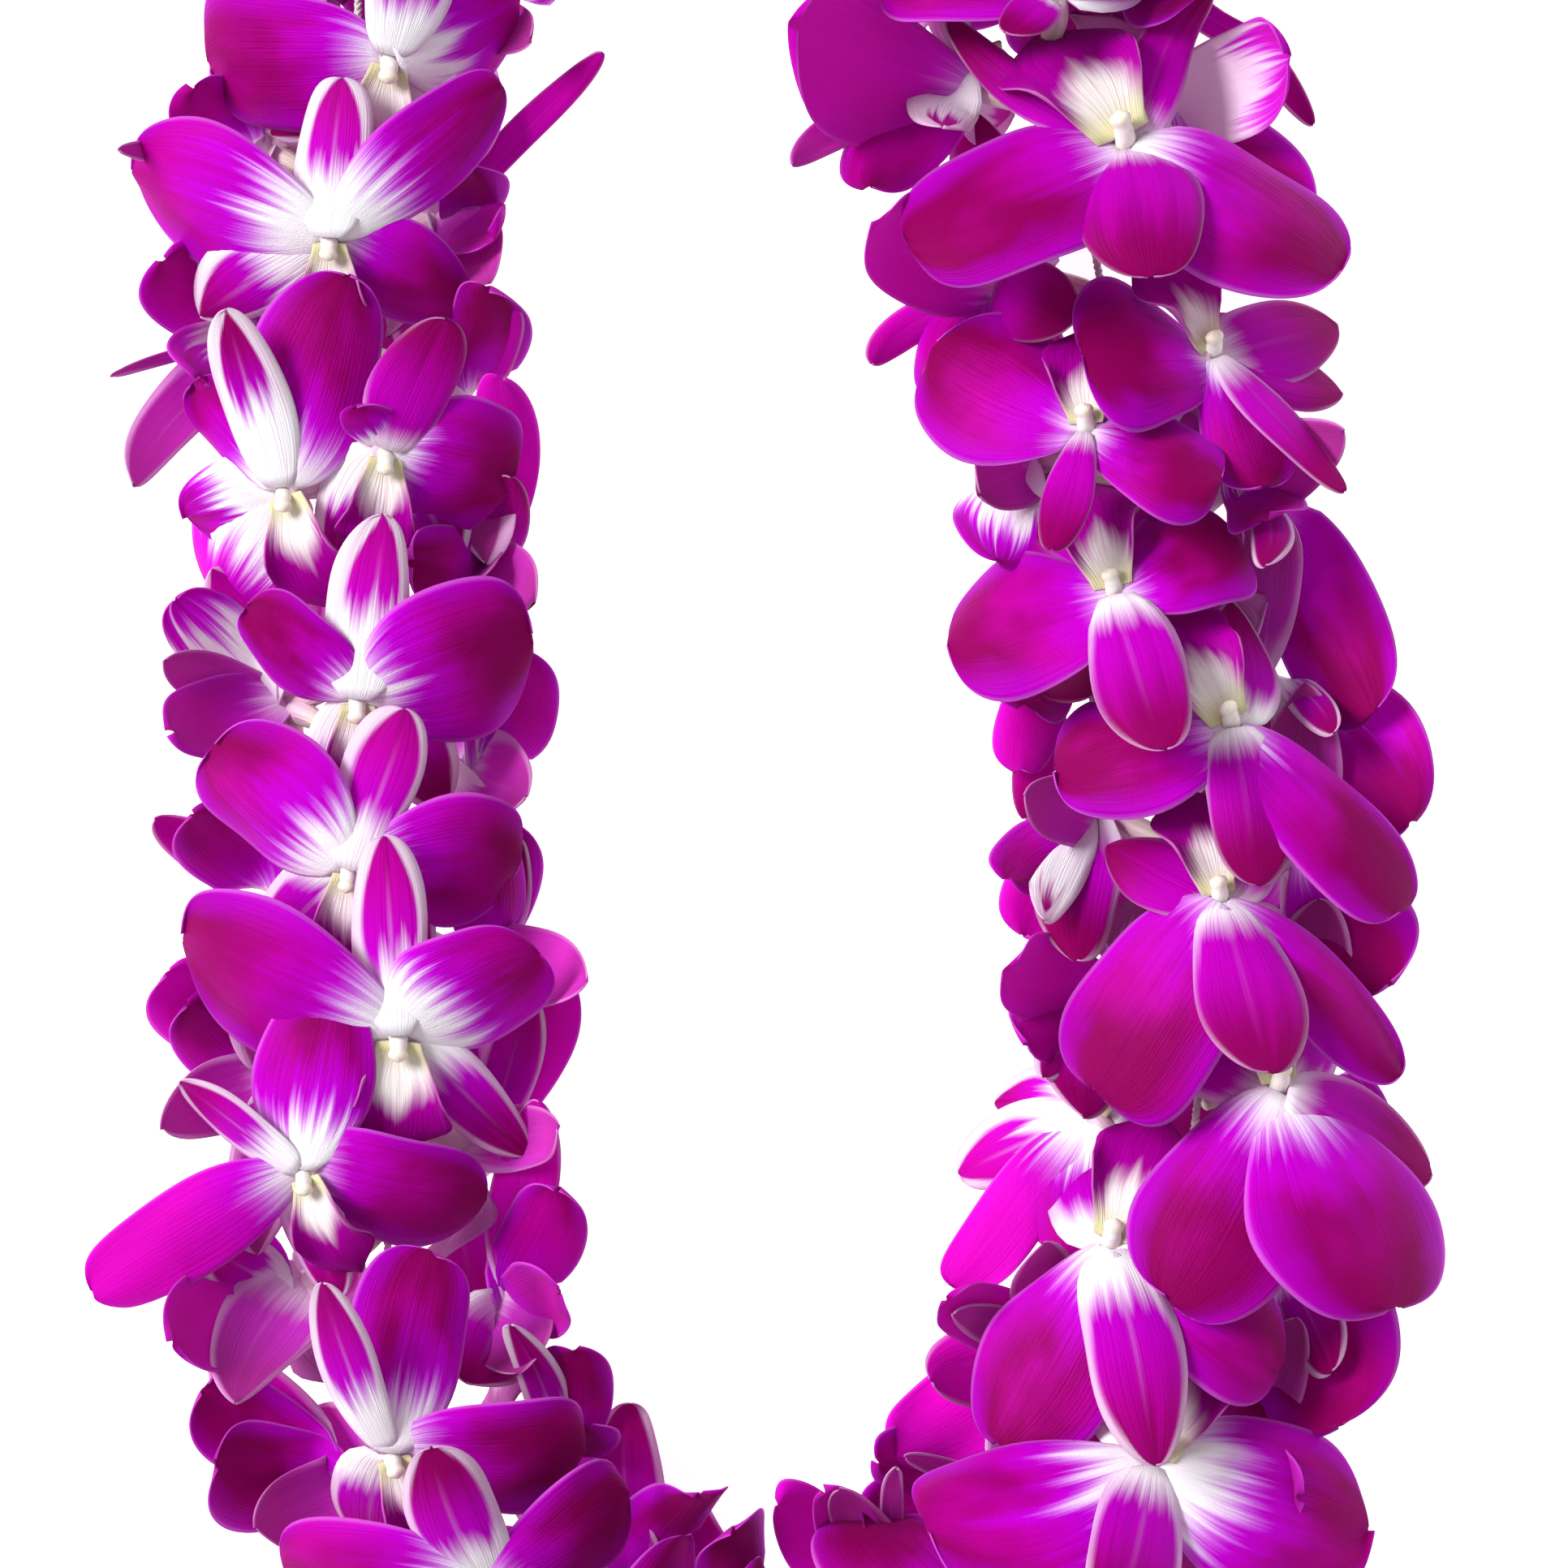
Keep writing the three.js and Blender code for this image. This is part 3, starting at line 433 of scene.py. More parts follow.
class Body:
    """Collects surfaces into one mesh, with their materials, a UV map and their tones: how pale and how deep
    each is, and its offset in the noise."""

    def __init__(self, materials):
        self.materials = list(materials)
        self.points, self.uvs, self.tones, self.faces, self.slots = [], [], [], [], []
        self.count = 0

    def add(self, surface, material, tone, back=None):
        """Takes in a surface: its quads get the material, its other faces get back if that is given."""
        points, quads, others, uv = surface
        for faces, which in ((quads, material), (others, back or material)):
            self.faces.append(faces + self.count)
            self.slots.append(np.full(len(faces), self.materials.index(which)))
        self.points.append(points)
        self.uvs.append(uv)
        self.tones.append(np.tile(tone, (len(points), 1)))
        self.count += len(points)

    def object(self, name, finishes):
        """The mesh as an object: millimetres to metres, its faces smooth."""
        mesh = bpy.data.meshes.new(name)
        sizes = np.concatenate([np.full(len(f), f.shape[1]) for f in self.faces])
        corners = np.concatenate([f.ravel() for f in self.faces])
        mesh.vertices.add(self.count)
        mesh.loops.add(len(corners))
        mesh.polygons.add(len(sizes))
        mesh.vertices.foreach_set("co", (np.concatenate(self.points) / 1000).astype(np.float32).ravel())
        mesh.loops.foreach_set("vertex_index", corners.astype(np.int32))
        mesh.polygons.foreach_set("loop_start", (np.cumsum(sizes) - sizes).astype(np.int32))
        for finish in self.materials:
            mesh.materials.append(finishes[finish])
        mesh.polygons.foreach_set("material_index", np.concatenate(self.slots).astype(np.int32))
        mesh.polygons.foreach_set("use_smooth", np.ones(len(sizes), dtype=bool))
        layer = mesh.uv_layers.new(name="along_and_across")
        layer.uv.foreach_set("vector", np.concatenate(self.uvs)[corners].astype(np.float32).ravel())
        tones = mesh.attributes.new("tones", "FLOAT_VECTOR", "POINT")
        tones.data.foreach_set("vector", np.concatenate(self.tones).astype(np.float32).ravel())
        mesh.update()
        mesh.validate()
        piece = bpy.data.objects.new(name, mesh)
        bpy.context.scene.collection.objects.link(piece)
        return piece


# An orchid's parts. A blade's length l runs from the hub's rim, with ROOT more inside it, and its width w to
# its right. start and tip are its outline's powers at foot and tip, layer is how far its foot stands out of
# the face, and steps are its grid's. Of those that the photograph shows, one wider than BROAD is coloured and
# rippled as a petal, and a dorsal sepal stands out by SHOWN_LAYER. SIDE_FORMS change the others on the sides.

ROOT = 2.4
BROAD = 16
SHOWN_LAYER = 0.9
DORSAL = dict(length=27, width=12, lift=0.05, curl=0.006, start=0.42, tip=0.44, camber=-0.16, layer=-0.5,
              steps=(22, 8))
PETAL = dict(length=29, width=27, lift=0.03, curl=0.016, start=0.58, tip=0.36, camber=-0.2, layer=0.3,
             steps=(28, 18))
SEPAL = dict(length=24, width=16, lift=-0.1, curl=0, start=0.4, tip=0.55, camber=-0.2, layer=-0.6,
             steps=(20, 8))
BLADES = {
    "dorsal": dict(DORSAL, angle=0),
    "petal_r": dict(PETAL, angle=70),
    "petal_l": dict(PETAL, angle=-70),
    "sepal_r": dict(SEPAL, angle=140),
    "sepal_l": dict(SEPAL, angle=-140),
}
SIDE_PETAL = dict(length=24, width=24)
SIDE_SEPAL = dict(length=19, lift=0.9, curl=0.01)
SIDE_FORMS = {
    "dorsal": dict(length=24),
    "petal_r": dict(SIDE_PETAL, angle=52),
    "petal_l": dict(SIDE_PETAL, angle=-52),
    "sepal_r": dict(SIDE_SEPAL, angle=160),
    "sepal_l": dict(SIDE_SEPAL, angle=-160),
}

# The whorls of the loop's left and right strands that the photograph shows, and those of deep colour.
LEFT_WHORLS = range(2, 11)
RIGHT_WHORLS = range(21, 31)
DEEP_WHORLS = range(20, 32)


def paleness(index, chance):
    """How far white runs out over a blade, 0 to 1: more on the loop's left strand, less on its right one."""
    whorl = index // 3
    usual = 0.7 if whorl in LEFT_WHORLS else 0.2 if whorl in RIGHT_WHORLS else 0.45
    return min(1.0, max(0.0, usual + 0.25 * chance))


def depth(index, chance):
    """How dark and red the outer part of a blade is, 0 to 1."""
    usual = 0.85 if index // 3 in DEEP_WHORLS else 0.5
    return min(1.0, max(0.0, usual + 0.2 * chance))


def in_photograph(points):
    """Where the camera sees points, in the photograph's pixels: the steps from its centre, times the share of
    the way down to VIEW_LEVEL at which they lie."""
    scale = VIEW_HEIGHT / (VIEW_HEIGHT + VIEW_LEVEL - points[..., 2]) * PHOTO_SIZE / VIEW_WIDTH
    across, down = points[..., 0] - VIEW_CENTRE[0], VIEW_CENTRE[1] - points[..., 1]
    return np.stack([across * scale, down * scale], axis=-1) + PHOTO_SIZE / 2


def on_midline(seat, form, angle, length, lift, share=1.0, across=0.0, out=0.0):
    """Points on a blade's midline at a share of its length, or across and out from there."""
    l = length * share
    reach, angle = HUB_RADIUS + l, np.radians(angle)
    a, b = reach * np.sin(angle) + across * np.cos(angle), reach * np.cos(angle) - across * np.sin(angle)
    return placed(seat, a, b, form["layer"] + lift * l - 0.5 * form["curl"] * l**2 + out)


# The changes of angle in degrees, length and lift that aimed() tries, and the shares of them that it tries in
# turn. A length stays between SHORTEST and LONGEST, and a lift under STEEPEST. NEAR pixels beside the place
# weigh as much as the changes NEAR_FORM, or as NEAR_LEVEL millimetres of height.
AIMS = np.stack(np.meshgrid(np.linspace(-180, 180, 25), np.linspace(-18, 18, 9), np.linspace(-0.8, 0.8, 9),
                            indexing="ij"), axis=-1).reshape(-1, 3)
FINENESS = (1, 0.3, 0.08, 0.02)
SHORTEST, LONGEST, STEEPEST = 8, 38, 1.3
NEAR, NEAR_FORM, NEAR_LEVEL = 3, (70, 6, 0.15), 5


def aimed(seat, form, place, height):
    """The angle, length and lift that bring a blade's tip to its place in the photograph, and to its height
    if one is given: the best of the grid AIMS round its own ones, then of finer grids round the best. The
    cost is the sum of the squares of the differences, each over what weighs the same."""
    own = best = np.array([form["angle"], form["length"], form["lift"]])
    for fineness in FINENESS:
        trial = best + AIMS * fineness
        length, lift = trial[:, 1], trial[:, 2]
        trial = trial[(length > SHORTEST) & (length < LONGEST) & (abs(lift) < STEEPEST)]
        tip = on_midline(seat, form, *trial.T)
        cost = (((in_photograph(tip) - place) / NEAR) ** 2).sum(axis=-1)
        cost = cost + (((trial - own) / NEAR_FORM) ** 2).sum(axis=-1)
        if height:
            cost = cost + ((tip[:, 2] - height) / NEAR_LEVEL) ** 2
        best = trial[cost.argmin()]
    return best


def broad_roll(seat, form):
    """The roll that shows a side blade broadest from above: its width, A cos r + O sin r, crosses its length
    L most where tan r is L x O over L x A, with A and O its steps across and out at 0.6 of its length. Past
    MOST_ROLL it shows its back instead, half a turn less."""
    aim = form["angle"], form["length"], form["lift"]
    steps = (0.6,), (0.61,), (0.6, 0.1), (0.6, 0, 0.1)
    here, along, across, out = (on_midline(seat, form, *aim, *step)[..., :2] for step in steps)
    length, across, out = along - here, across - here, out - here
    over_out = length[0] * out[1] - length[1] * out[0]
    over_across = length[0] * across[1] - length[1] * across[0]
    roll = math.degrees(math.atan2(-over_out, -over_across))
    return roll if abs(roll) <= MOST_ROLL else roll - math.copysign(180, roll)


def blade_form(seat, part):
    """A blade's own sizes: BLADES with the orchid's draws, which wave, bow, twist and lean it a little, and
    what SEEN says of it."""
    form = dict(BLADES[part])
    first_use = 10 * (1 + list(BLADES).index(part))
    draws = [draw(seat["index"], first_use + j) for j in range(8)]
    petal = part.startswith("petal")
    form.update(petal=petal, wave=draws[2], phase=draws[3], offset=0.5 + 0.5 * draws[3], roll=0,
                bow=0.0022 * draws[5], lean=0.16 * draws[5], twist=(0.05 if petal else 0.12) * draws[7],
                tip=form["tip"] * (1 + 0.2 * draws[6]), pale=paleness(seat["index"], draws[4]),
                depth=depth(seat["index"], draws[0]))
    on_side = abs(math.degrees(seat["angle"])) > SIDE
    seen = SEEN.get(divmod(seat["index"], 3), {}).get(part)
    if seen:
        # deep is partly the blade's own tone, partly painted shade where it is dark and painted light where
        # hot pink.
        x, y, width, pale, deep, *others = seen
        lift, curl, height = (*others, *USUAL[len(others):])
        width = width * VIEW_WIDTH / PHOTO_SIZE / seat["size"]
        form.update(lift=lift, curl=curl, pale=pale, depth=deep, width=width, petal=petal or width > BROAD)
        if part == "dorsal":
            form["layer"] = SHOWN_LAYER
        if on_side and height is None:
            height = SIDE_HEIGHT
        form["angle"], form["length"], form["lift"] = aimed(seat, form, (x, y), height)
    else:
        form["angle"] = form["angle"] * seat["spread"] if petal else form["angle"] + 4 * draws[4]
        form["width"] *= (1 + 0.06 * draws[0]) if petal else (1 + 0.12 * draws[1])
        form["curl"] += (0.003 if petal else 0.006) * draws[6]
        if on_side:
            form.update(SIDE_FORMS[part])
    if on_side:
        form["roll"] = broad_roll(seat, form)
    return form


def bell(x, middle, spread):
    """The bell curve exp(-((x - middle) / spread)^2)."""
    return np.exp(-((x - middle) / spread) ** 2)


def blade_middle(seat, form, u, v):
    """The middle of a blade at u from foot to tip and v across: its half width is W/2 times (u + 0.03)^start
    (1 - u)^tip over the top of u^start (1 - u)^tip. It lifts, curls and bows along its length, is cambered as
    v^2 across it, ripples at its edges, twists a little and has a groove if it is a sepal, all of that rolled
    about its length."""
    p, q = form["start"], form["tip"]
    top = (p / (p + q)) ** p * (q / (p + q)) ** q
    half = form["width"] / 2 * (u + 0.03) ** p * (1 - u) ** q / top
    l = -ROOT + (form["length"] + ROOT) * u
    scallop = 1 + 0.07 * np.sin(6 * u + 3 * form["phase"] + 1.7 * v * form["wave"])
    w = half * (v + form["lean"] * (1 - v**2)) * scallop
    ripple = (1.1 if form["petal"] else 0.4) * np.abs(v) ** 3 * np.sin(7 * u + 4 * form["wave"] + 2.4 * v) * u
    ripple = ripple + (0.35 if form["petal"] else 0.1) * np.sin(4 * u + 3 * v + 5 * form["phase"]) * u
    n = form["camber"] * half * v**2 + ripple + form["twist"] * w * u
    if not form["petal"]:
        n = n - 0.55 * bell(v, 0, 0.22) * u * (1 - u)
    roll = math.radians(form["roll"]) * np.minimum(u / 0.3, 1)
    reach, across = HUB_RADIUS + l, w * np.cos(roll) - n * np.sin(roll) + form["bow"] * l**2
    angle = math.radians(form["angle"])
    a = reach * math.sin(angle) + across * math.cos(angle)
    b = reach * math.cos(angle) - across * math.sin(angle)
    c = (form["layer"] + form["lift"] * l - 0.5 * form["curl"] * np.maximum(l, 0) ** 2
         + n * np.cos(roll) + w * np.sin(roll))
    return placed(seat, a, b, c)


def blade(seat, form):
    """A sepal or petal: a sheet of 0.5 mm that thins as v^4 to its edges and as u^8 to its tip."""
    u, v, uv = sheet_grid(*form["steps"], end=0.988)
    thickness = 0.5 - 0.26 * np.maximum(np.abs(v) ** 4, u**8)
    return shell(blade_middle(seat, form, u, v), thickness, uv)


# The regular lip's length and breadth, and how high its sides and keels stand.
LIP_LENGTH = 20.5
LIP_BREADTH = 14.8
LIP_SIDES = 4.6
LIP_KEELS = 0.35


def lip(seat):
    """The lip: a claw whose sides stand up round the column, then a broad pointed blade that bends back, with
    three low keels along its middle and a frilled edge. Its swellings, sides and keels are bell curves."""
    broad, long = LIPS.get(divmod(seat["index"], 3), (1, 1))
    ruffle, droop, lean = (draw(seat["index"], use) for use in (71, 72, 73))
    u, v, uv = sheet_grid(20, 16, end=0.985)
    swell = 0.36 + 0.675 * bell(u, 0.36, 0.2) + 0.75 * bell(u, 0.72, 0.2)
    half = LIP_BREADTH / 2 * broad * swell * (1 - u**5) ** 0.6
    l = -ROOT + LIP_LENGTH * long * u
    w = half * v * (1 - 0.32 * bell(u, 0.33, 0.17) * v**2)
    sides = LIP_SIDES * bell(u, 0.34, 0.2) * np.abs(v) ** 2.2
    keels = LIP_KEELS * (bell(v, 0, 0.07) + bell(np.abs(v), 0.25, 0.07)) * bell(u, 0.4, 0.28)
    frill = 0.5 * np.abs(v) ** 3 * np.sin(16 * u + 5 * ruffle) * u
    c = (0.5 + 0.62 * np.maximum(l, 0) - 0.5 * (0.062 + 0.012 * droop) * np.maximum(l, 0) ** 2
         + sides + keels + frill - 0.5 * v**2 * u**3)
    reach = HUB_RADIUS + l
    a = -w + 0.5 * lean * u
    return shell(placed(seat, a, -reach, c), 0.55 - 0.25 * np.abs(v + 0 * u) ** 4, uv)


def column(seat):
    """The column: a short stout tube out of the throat, a little flat, that leans over the lip as t^2. It
    narrows evenly but for a notch and its hooded cap, both bell curves, and rounds off over the end."""
    t = np.linspace(0, 1, 13)
    path = placed(seat, 0 * t, -0.4 - 2.2 * t**2, -1.4 + 6.2 * t - 0.8 * t**2)
    cap = 0.35 * bell(t, 0.84, 0.14) - 0.15 * bell(t, 0.66, 0.05)
    radii = 1.75 - 0.55 * t + cap - 1.2 * np.maximum((t - 0.86) / 0.14, 0) ** 2
    return tube(path, radii * seat["size"], 10, flat=0.8)


def chin(seat):
    """The chin: the joined feet of the lateral sepals, a blunt horn that points back under the lip."""
    t = np.linspace(0, 1, 9)
    path = placed(seat, 0 * t, -1.5 - 6.5 * t, -0.8 - 5.4 * t + 1.8 * t**2)
    return tube(path, (2.3 - 1.2 * t - 0.8 * t**6) * seat["size"], 10)


def stalk(seat):
    """The ovary and stalk: from behind the throat to the string, bowed a little, thickest in its middle."""
    t = np.linspace(0, 1, 9)[:, None]
    start = placed(seat, np.array([0.0]), np.array([0.0]), np.array([-0.4]))
    end = at_string(np.array([seat["root"] - 0.5]), seat["angle"], np.array([1.1]), np.array([0.0]))
    path = start * (1 - t) + end * t
    path = path + 0.8 * np.sin(math.pi * t) * np.array([draw(seat["index"], 81), draw(seat["index"], 82), 0])
    s = t[:, 0]
    return tube(path, 1.9 - 0.5 * s + 0.3 * np.sin(math.pi * s) - 0.3 * (s > 0.95), 9)


# Shader maths.

class Maths:
    """A material's node tree, written as Python: values add and multiply, and node() makes the rest."""

    def __init__(self, material):
        self.tree = material.node_tree

    def node(self, kind, settings=None, **inputs):
        """A node with its settings, then its inputs by name, with _ for a space, or by number, after a _."""
        made = self.tree.nodes.new(kind)
        for key, value in (settings or {}).items():
            setattr(made, key, value)
        for key, value in inputs.items():
            socket = int(key[1:]) if key[:1] == "_" else key.replace("_", " ")
            self.feed(made.inputs[socket], value)
        return made

    def feed(self, socket, value):
        """Sets a socket, or links it to a Value or an output."""
        if isinstance(value, Value):
            self.tree.links.new(value.socket, socket)
        elif hasattr(value, "is_output"):
            self.tree.links.new(value, socket)
        else:
            socket.default_value = value

    def value(self, socket):
        return Value(self, socket)

    def math(self, operation, *values):
        made = self.node("ShaderNodeMath", {"operation": operation})
        for socket, value in zip(made.inputs, values):
            self.feed(socket, value)
        return Value(self, made.outputs[0])

    def mix(self, factor, one, two):
        """Colour one where factor is 0, two where it is 1."""
        made = self.node("ShaderNodeMix", {"data_type": "RGBA", "clamp_factor": True})
        self.feed(made.inputs[0], factor)
        self.feed(made.inputs[6], one if not isinstance(one, tuple) else (*one, 1))
        self.feed(made.inputs[7], two if not isinstance(two, tuple) else (*two, 1))
        return made.outputs[2]

    def step(self, low, high, value):
        """0 below low, 1 above high, smooth between them; the other way round if low is over high."""
        made = self.node("ShaderNodeMapRange", {"interpolation_type": "SMOOTHSTEP"})
        for socket, number in zip(made.inputs, (value, low, high, 0.0, 1.0)):
            self.feed(socket, number)
        return Value(self, made.outputs[0])

    def noise(self, x, y, z, detail=2.0):
        """Noise from -0.5 to 0.5 at these coordinates."""
        place = self.node("ShaderNodeCombineXYZ", X=x, Y=y, Z=z).outputs[0]
        made = self.node("ShaderNodeTexNoise", Vector=place, Scale=1.0, Detail=detail)
        return Value(self, made.outputs[0]) - 0.5

    def positive(self, value):
        """The value, or 0 where it is negative."""
        return self.math("MAXIMUM", value, 0.0)


class Value:
    """A number in the shader."""

    def __init__(self, maths, socket):
        self.maths, self.socket = maths, socket

    def __add__(self, other):
        return self.maths.math("ADD", self, other)

    def __sub__(self, other):
        return self.maths.math("SUBTRACT", self, other)

    def __rsub__(self, other):
        return self.maths.math("SUBTRACT", other, self)

    def __mul__(self, other):
        return self.maths.math("MULTIPLY", self, other)

    def __abs__(self):
        return self.maths.math("ABSOLUTE", self)

    __rmul__ = __mul__


def new_material(name):
    """An empty material and its maths."""
    material = bpy.data.materials.new(name)
    material.use_nodes = True
    material.node_tree.nodes.clear()
    return material, Maths(material)


def where(m):
    """u along a part, v across it from -1 to 1, and its paleness, its depth, partly painted shade and painted
    light, and its offset in the noise.
    """
    uv_map = m.node("ShaderNodeUVMap", {"uv_map": "along_and_across"})
    attribute = m.node("ShaderNodeAttribute", {"attribute_name": "tones"})
    uv = m.node("ShaderNodeSeparateXYZ", _0=uv_map.outputs["UV"])
    tones = m.node("ShaderNodeSeparateXYZ", _0=attribute.outputs["Vector"])
    u, v = m.value(uv.outputs[0]), m.value(uv.outputs[1]) * 2 - 1
    return (u, v, *(m.value(tones.outputs[k]) for k in range(3)))


def surface(m, colour, roughness, height=None, distance=0.0002, glow=None, **constants):
    """The shader itself: a principled surface with an optional bump, and GLOW's light through it where glow
    says."""
    shader = m.node("ShaderNodeBsdfPrincipled", **constants)
    m.feed(shader.inputs["Base Color"], colour if not isinstance(colour, tuple) else (*colour, 1))
    m.feed(shader.inputs["Roughness"], roughness)
    if height is not None:
        bump = m.node("ShaderNodeBump", Distance=distance)
        m.feed(bump.inputs["Height"], height)
        m.feed(shader.inputs["Normal"], bump.outputs[0])
    out = m.node("ShaderNodeOutputMaterial")
    result = shader.outputs[0]
    if glow is not None:
        through = m.node("ShaderNodeBsdfTranslucent", Color=(*GLOW, 1))
        both = m.node("ShaderNodeMixShader")
        m.feed(both.inputs[0], glow)
        m.feed(both.inputs[1], result)
        m.feed(both.inputs[2], through.outputs[0])
        result = both.outputs[0]
    m.feed(out.inputs[0], result)


GLOW = (0.95, 0.02, 0.75)
WHITE = (0.94, 0.92, 0.96)
LILAC = (0.80, 0.36, 0.96)
VIOLET = (0.58, 0.0, 0.82)
MAGENTA = (0.49, 0.0, 0.33)
DEEP = (0.24, 0.0, 0.085)
# Hot pink: partly a blade's own tone and partly painted light shining through it.
HOT_AND_BACKLIT = (0.84, 0.004, 0.68)
EDGE = (0.8, 0.22, 0.85)
CREAM = (0.88, 0.85, 0.78)
VELVET = dict(Specular_IOR_Level=0.03, Sheen_Weight=0.3, Sheen_Roughness=0.35, Sheen_Tint=(1, 0.12, 0.95, 1))


def petal_colours(m):
    """A petal's colour: white at its foot, drawn out along the veins into rays, then lilac and violet, then
    magenta, deeper in fine veins and towards its tip, or hot pink; a blade's depth is partly painted shade at
    its dark end and painted light shining through it at its hot pink end. Returns the colour, where it is
    white, the veins, and how much light a petal of its depth lets through."""
    u, v, pale, depth, offset = where(m)
    dark, hot = m.positive(depth), m.positive(depth * -1)
    rays = m.noise(v * 7, u * 0.6, offset * 40, detail=4.0)
    fine = m.noise(v * 38, u * 1.2, offset * 40 + 9, detail=2.0)
    soft = m.noise(v * 1.3, u * 2.2, offset * 40 + 5, detail=2.0)
    reach = u - pale * 0.33 + abs(v) * 0.1 + rays * (pale * 0.5 + 0.2) + fine * 0.16
    white = m.step(0.16, -0.06, reach)
    # Deeper by the blade's depth: its own tone, and partly painted shade on blades set dark.
    colour = m.mix(m.step(0.1, 1.0, u + soft * 1.5 - 0.4 + depth * 0.6), MAGENTA, DEEP)
    edge = m.step(0.5, 1.05, abs(v) + soft * 0.9) * 0.55
    inner = m.step(0.56, 0.08, reach + soft * 0.5) * (1 - dark * 0.4)
    colour = m.mix(m.math("MAXIMUM", inner, edge), colour, VIOLET)
    # Painted light: hot pink on blades of depth below 0, partly standing for light shining through them.
    colour = m.mix(hot * m.step(0.0, 0.5, u + soft * 0.5), colour, HOT_AND_BACKLIT)
    colour = m.mix(m.step(0.04, 0.3, fine) * 0.28, colour, DEEP)
    colour = m.mix(m.step(0.24, 0.02, reach) * 0.85, colour, LILAC)
    colour = m.mix(white, colour, WHITE)
    colour = m.mix(m.step(0.93, 0.99, abs(v)) * 0.4, colour, EDGE)
    return colour, white, fine, 1 - dark * 0.6


def petal_material(back=False):
    """A petal: its colours, pinker at its back, with a relief of veins and grain, and light through it."""
    back_pink = (0.82, 0.04, 0.66)
    material, m = new_material("petal back" if back else "petal")
    colour, white, fine, shade = petal_colours(m)
    if back:
        colour = m.mix(0.3, colour, back_pink)
    place = m.node("ShaderNodeTexCoord").outputs["Object"]
    grain = m.node("ShaderNodeTexNoise", Vector=place, Scale=2600.0, Detail=1.0)
    height = fine * (1 - white * 0.5) * 0.8 + m.value(grain.outputs[0]) * 0.3
    surface(m, colour, 0.5, height, 0.00022, glow=(1 - white) * shade * 0.2 + 0.07, **VELVET)
    return material


def sepal_material(back=False):
    """A sepal: a magenta patch between a white foot and a white rim, both wider the paler it is, with a light
    line along its middle."""
    middle_line, rim_white, back_pink = (0.8, 0.5, 0.86), (0.92, 0.82, 0.93), (0.85, 0.12, 0.75)
    material, m = new_material("sepal back" if back else "sepal")
    u, v, pale, depth, offset = where(m)
    rays = m.noise(v * 5, u, offset * 30 + 3, detail=3.0)
    fine = m.noise(v * 24, u * 1.3, offset * 30 + 1, detail=2.0)
    along, across = (u - 0.6) * 1.9, v * (pale * 0.42 + 0.94)
    patch = along * along * (pale * 0.9 + 0.35) + across * across + rays * 0.35 + fine * 0.12
    rim = m.step(0.74, 1.12, patch) * (pale * 0.7 + 0.3)
    foot = m.step(0.2, -0.05, u - pale * 0.34 + rays * (pale * 0.4 + 0.12) + fine * 0.1)
    line = m.step(0.1, 0.0, abs(v)) * m.step(0.9, 0.3, u) * (pale * 0.4)
    # Deeper by the sepal's depth: its own tone, and partly painted shade on sepals set dark.
    colour = m.mix(m.step(0.2, 0.9, u + rays * 0.8 - 0.3 + depth * 0.4), MAGENTA, DEEP)
    colour = m.mix(m.step(0.85, 0.3, u) * (pale * 0.5 + 0.35), colour, VIOLET)
    # Painted light: hot pink on sepals of depth below 0, partly standing for light shining through them.
    colour = m.mix(m.positive(depth * -1) * 0.8, colour, HOT_AND_BACKLIT)
    colour = m.mix(m.step(0.04, 0.3, fine) * 0.25, colour, DEEP)
    colour = m.mix(line, colour, middle_line)
    colour = m.mix(m.step(0.45, 0.85, patch) * 0.5 * rim, colour, LILAC)
    colour = m.mix(rim, colour, rim_white)
    colour = m.mix(foot, colour, WHITE)
    if back:
        colour = m.mix(0.36, colour, back_pink)
    surface(m, colour, 0.5, fine * 0.8, 0.00022, glow=(1 - foot) * 0.18 + 0.08, **VELVET)
    return material


def lip_material(back=False):
    """The lip: deep purple, with a white blaze in its middle, lines of purple on it and a yellowish foot."""
    plum, dark_plum, vein, blaze_vein = (0.4, 0, 0.33), (0.24, 0, 0.16), (0.2, 0, 0.14), (0.5, 0.05, 0.5)
    blaze_white, foot_yellow, back_lilac = (0.86, 0.8, 0.78), (0.75, 0.72, 0.42), (0.72, 0.36, 0.62)
    material, m = new_material("lip back" if back else "lip")
    u, v, pale, _, offset = where(m)
    rays = m.noise(v * 6, u * 1.5, offset * 20, detail=3.0)
    lines = m.noise(v * 26, u * 1.2, offset * 20 + 4, detail=2.0)
    blaze = m.step(0.62, 0.34, u + abs(v) * 0.42 - 0.08 * pale + rays * 0.3)
    colour = m.mix(m.step(0.5, 1.0, u + rays * 0.5), plum, dark_plum)
    colour = m.mix(m.step(0.02, 0.22, lines) * 0.5, colour, vein)
    colour = m.mix(blaze, colour, blaze_white)
    colour = m.mix(m.step(0.07, 0.25, lines) * m.step(0.2, 0.4, u) * blaze * 0.6, colour, blaze_vein)
    colour = m.mix(m.step(0.24, 0.05, u), colour, foot_yellow)
    if back:
        colour = m.mix(0.35, colour, back_lilac)
    surface(m, colour, 0.42, lines * 0.8, 0.00025, glow=(1 - blaze) * 0.1 + 0.06, **VELVET)
    return material


def column_material():
    """The column: cream, a little green at its foot, with a yellowish cap and faint pink spots."""
    foot_green, cap_yellow, spot_pink = (0.7, 0.7, 0.48), (0.88, 0.82, 0.62), (0.78, 0.5, 0.68)
    material, m = new_material("column")
    u, v, _, _, offset = where(m)
    spots = m.noise(v * 3, u * 5, offset * 20, detail=2.0)
    colour = m.mix(m.step(0.45, 0.0, u), CREAM, foot_green)
    colour = m.mix(m.step(0.66, 0.74, u) * 0.7, colour, cap_yellow)
    colour = m.mix(m.step(0.02, 0.2, spots) * 0.5, colour, spot_pink)
    surface(m, colour, 0.38, spots * 0.5, 0.0002, Subsurface_Weight=0.1, Subsurface_Scale=0.001)
    return material


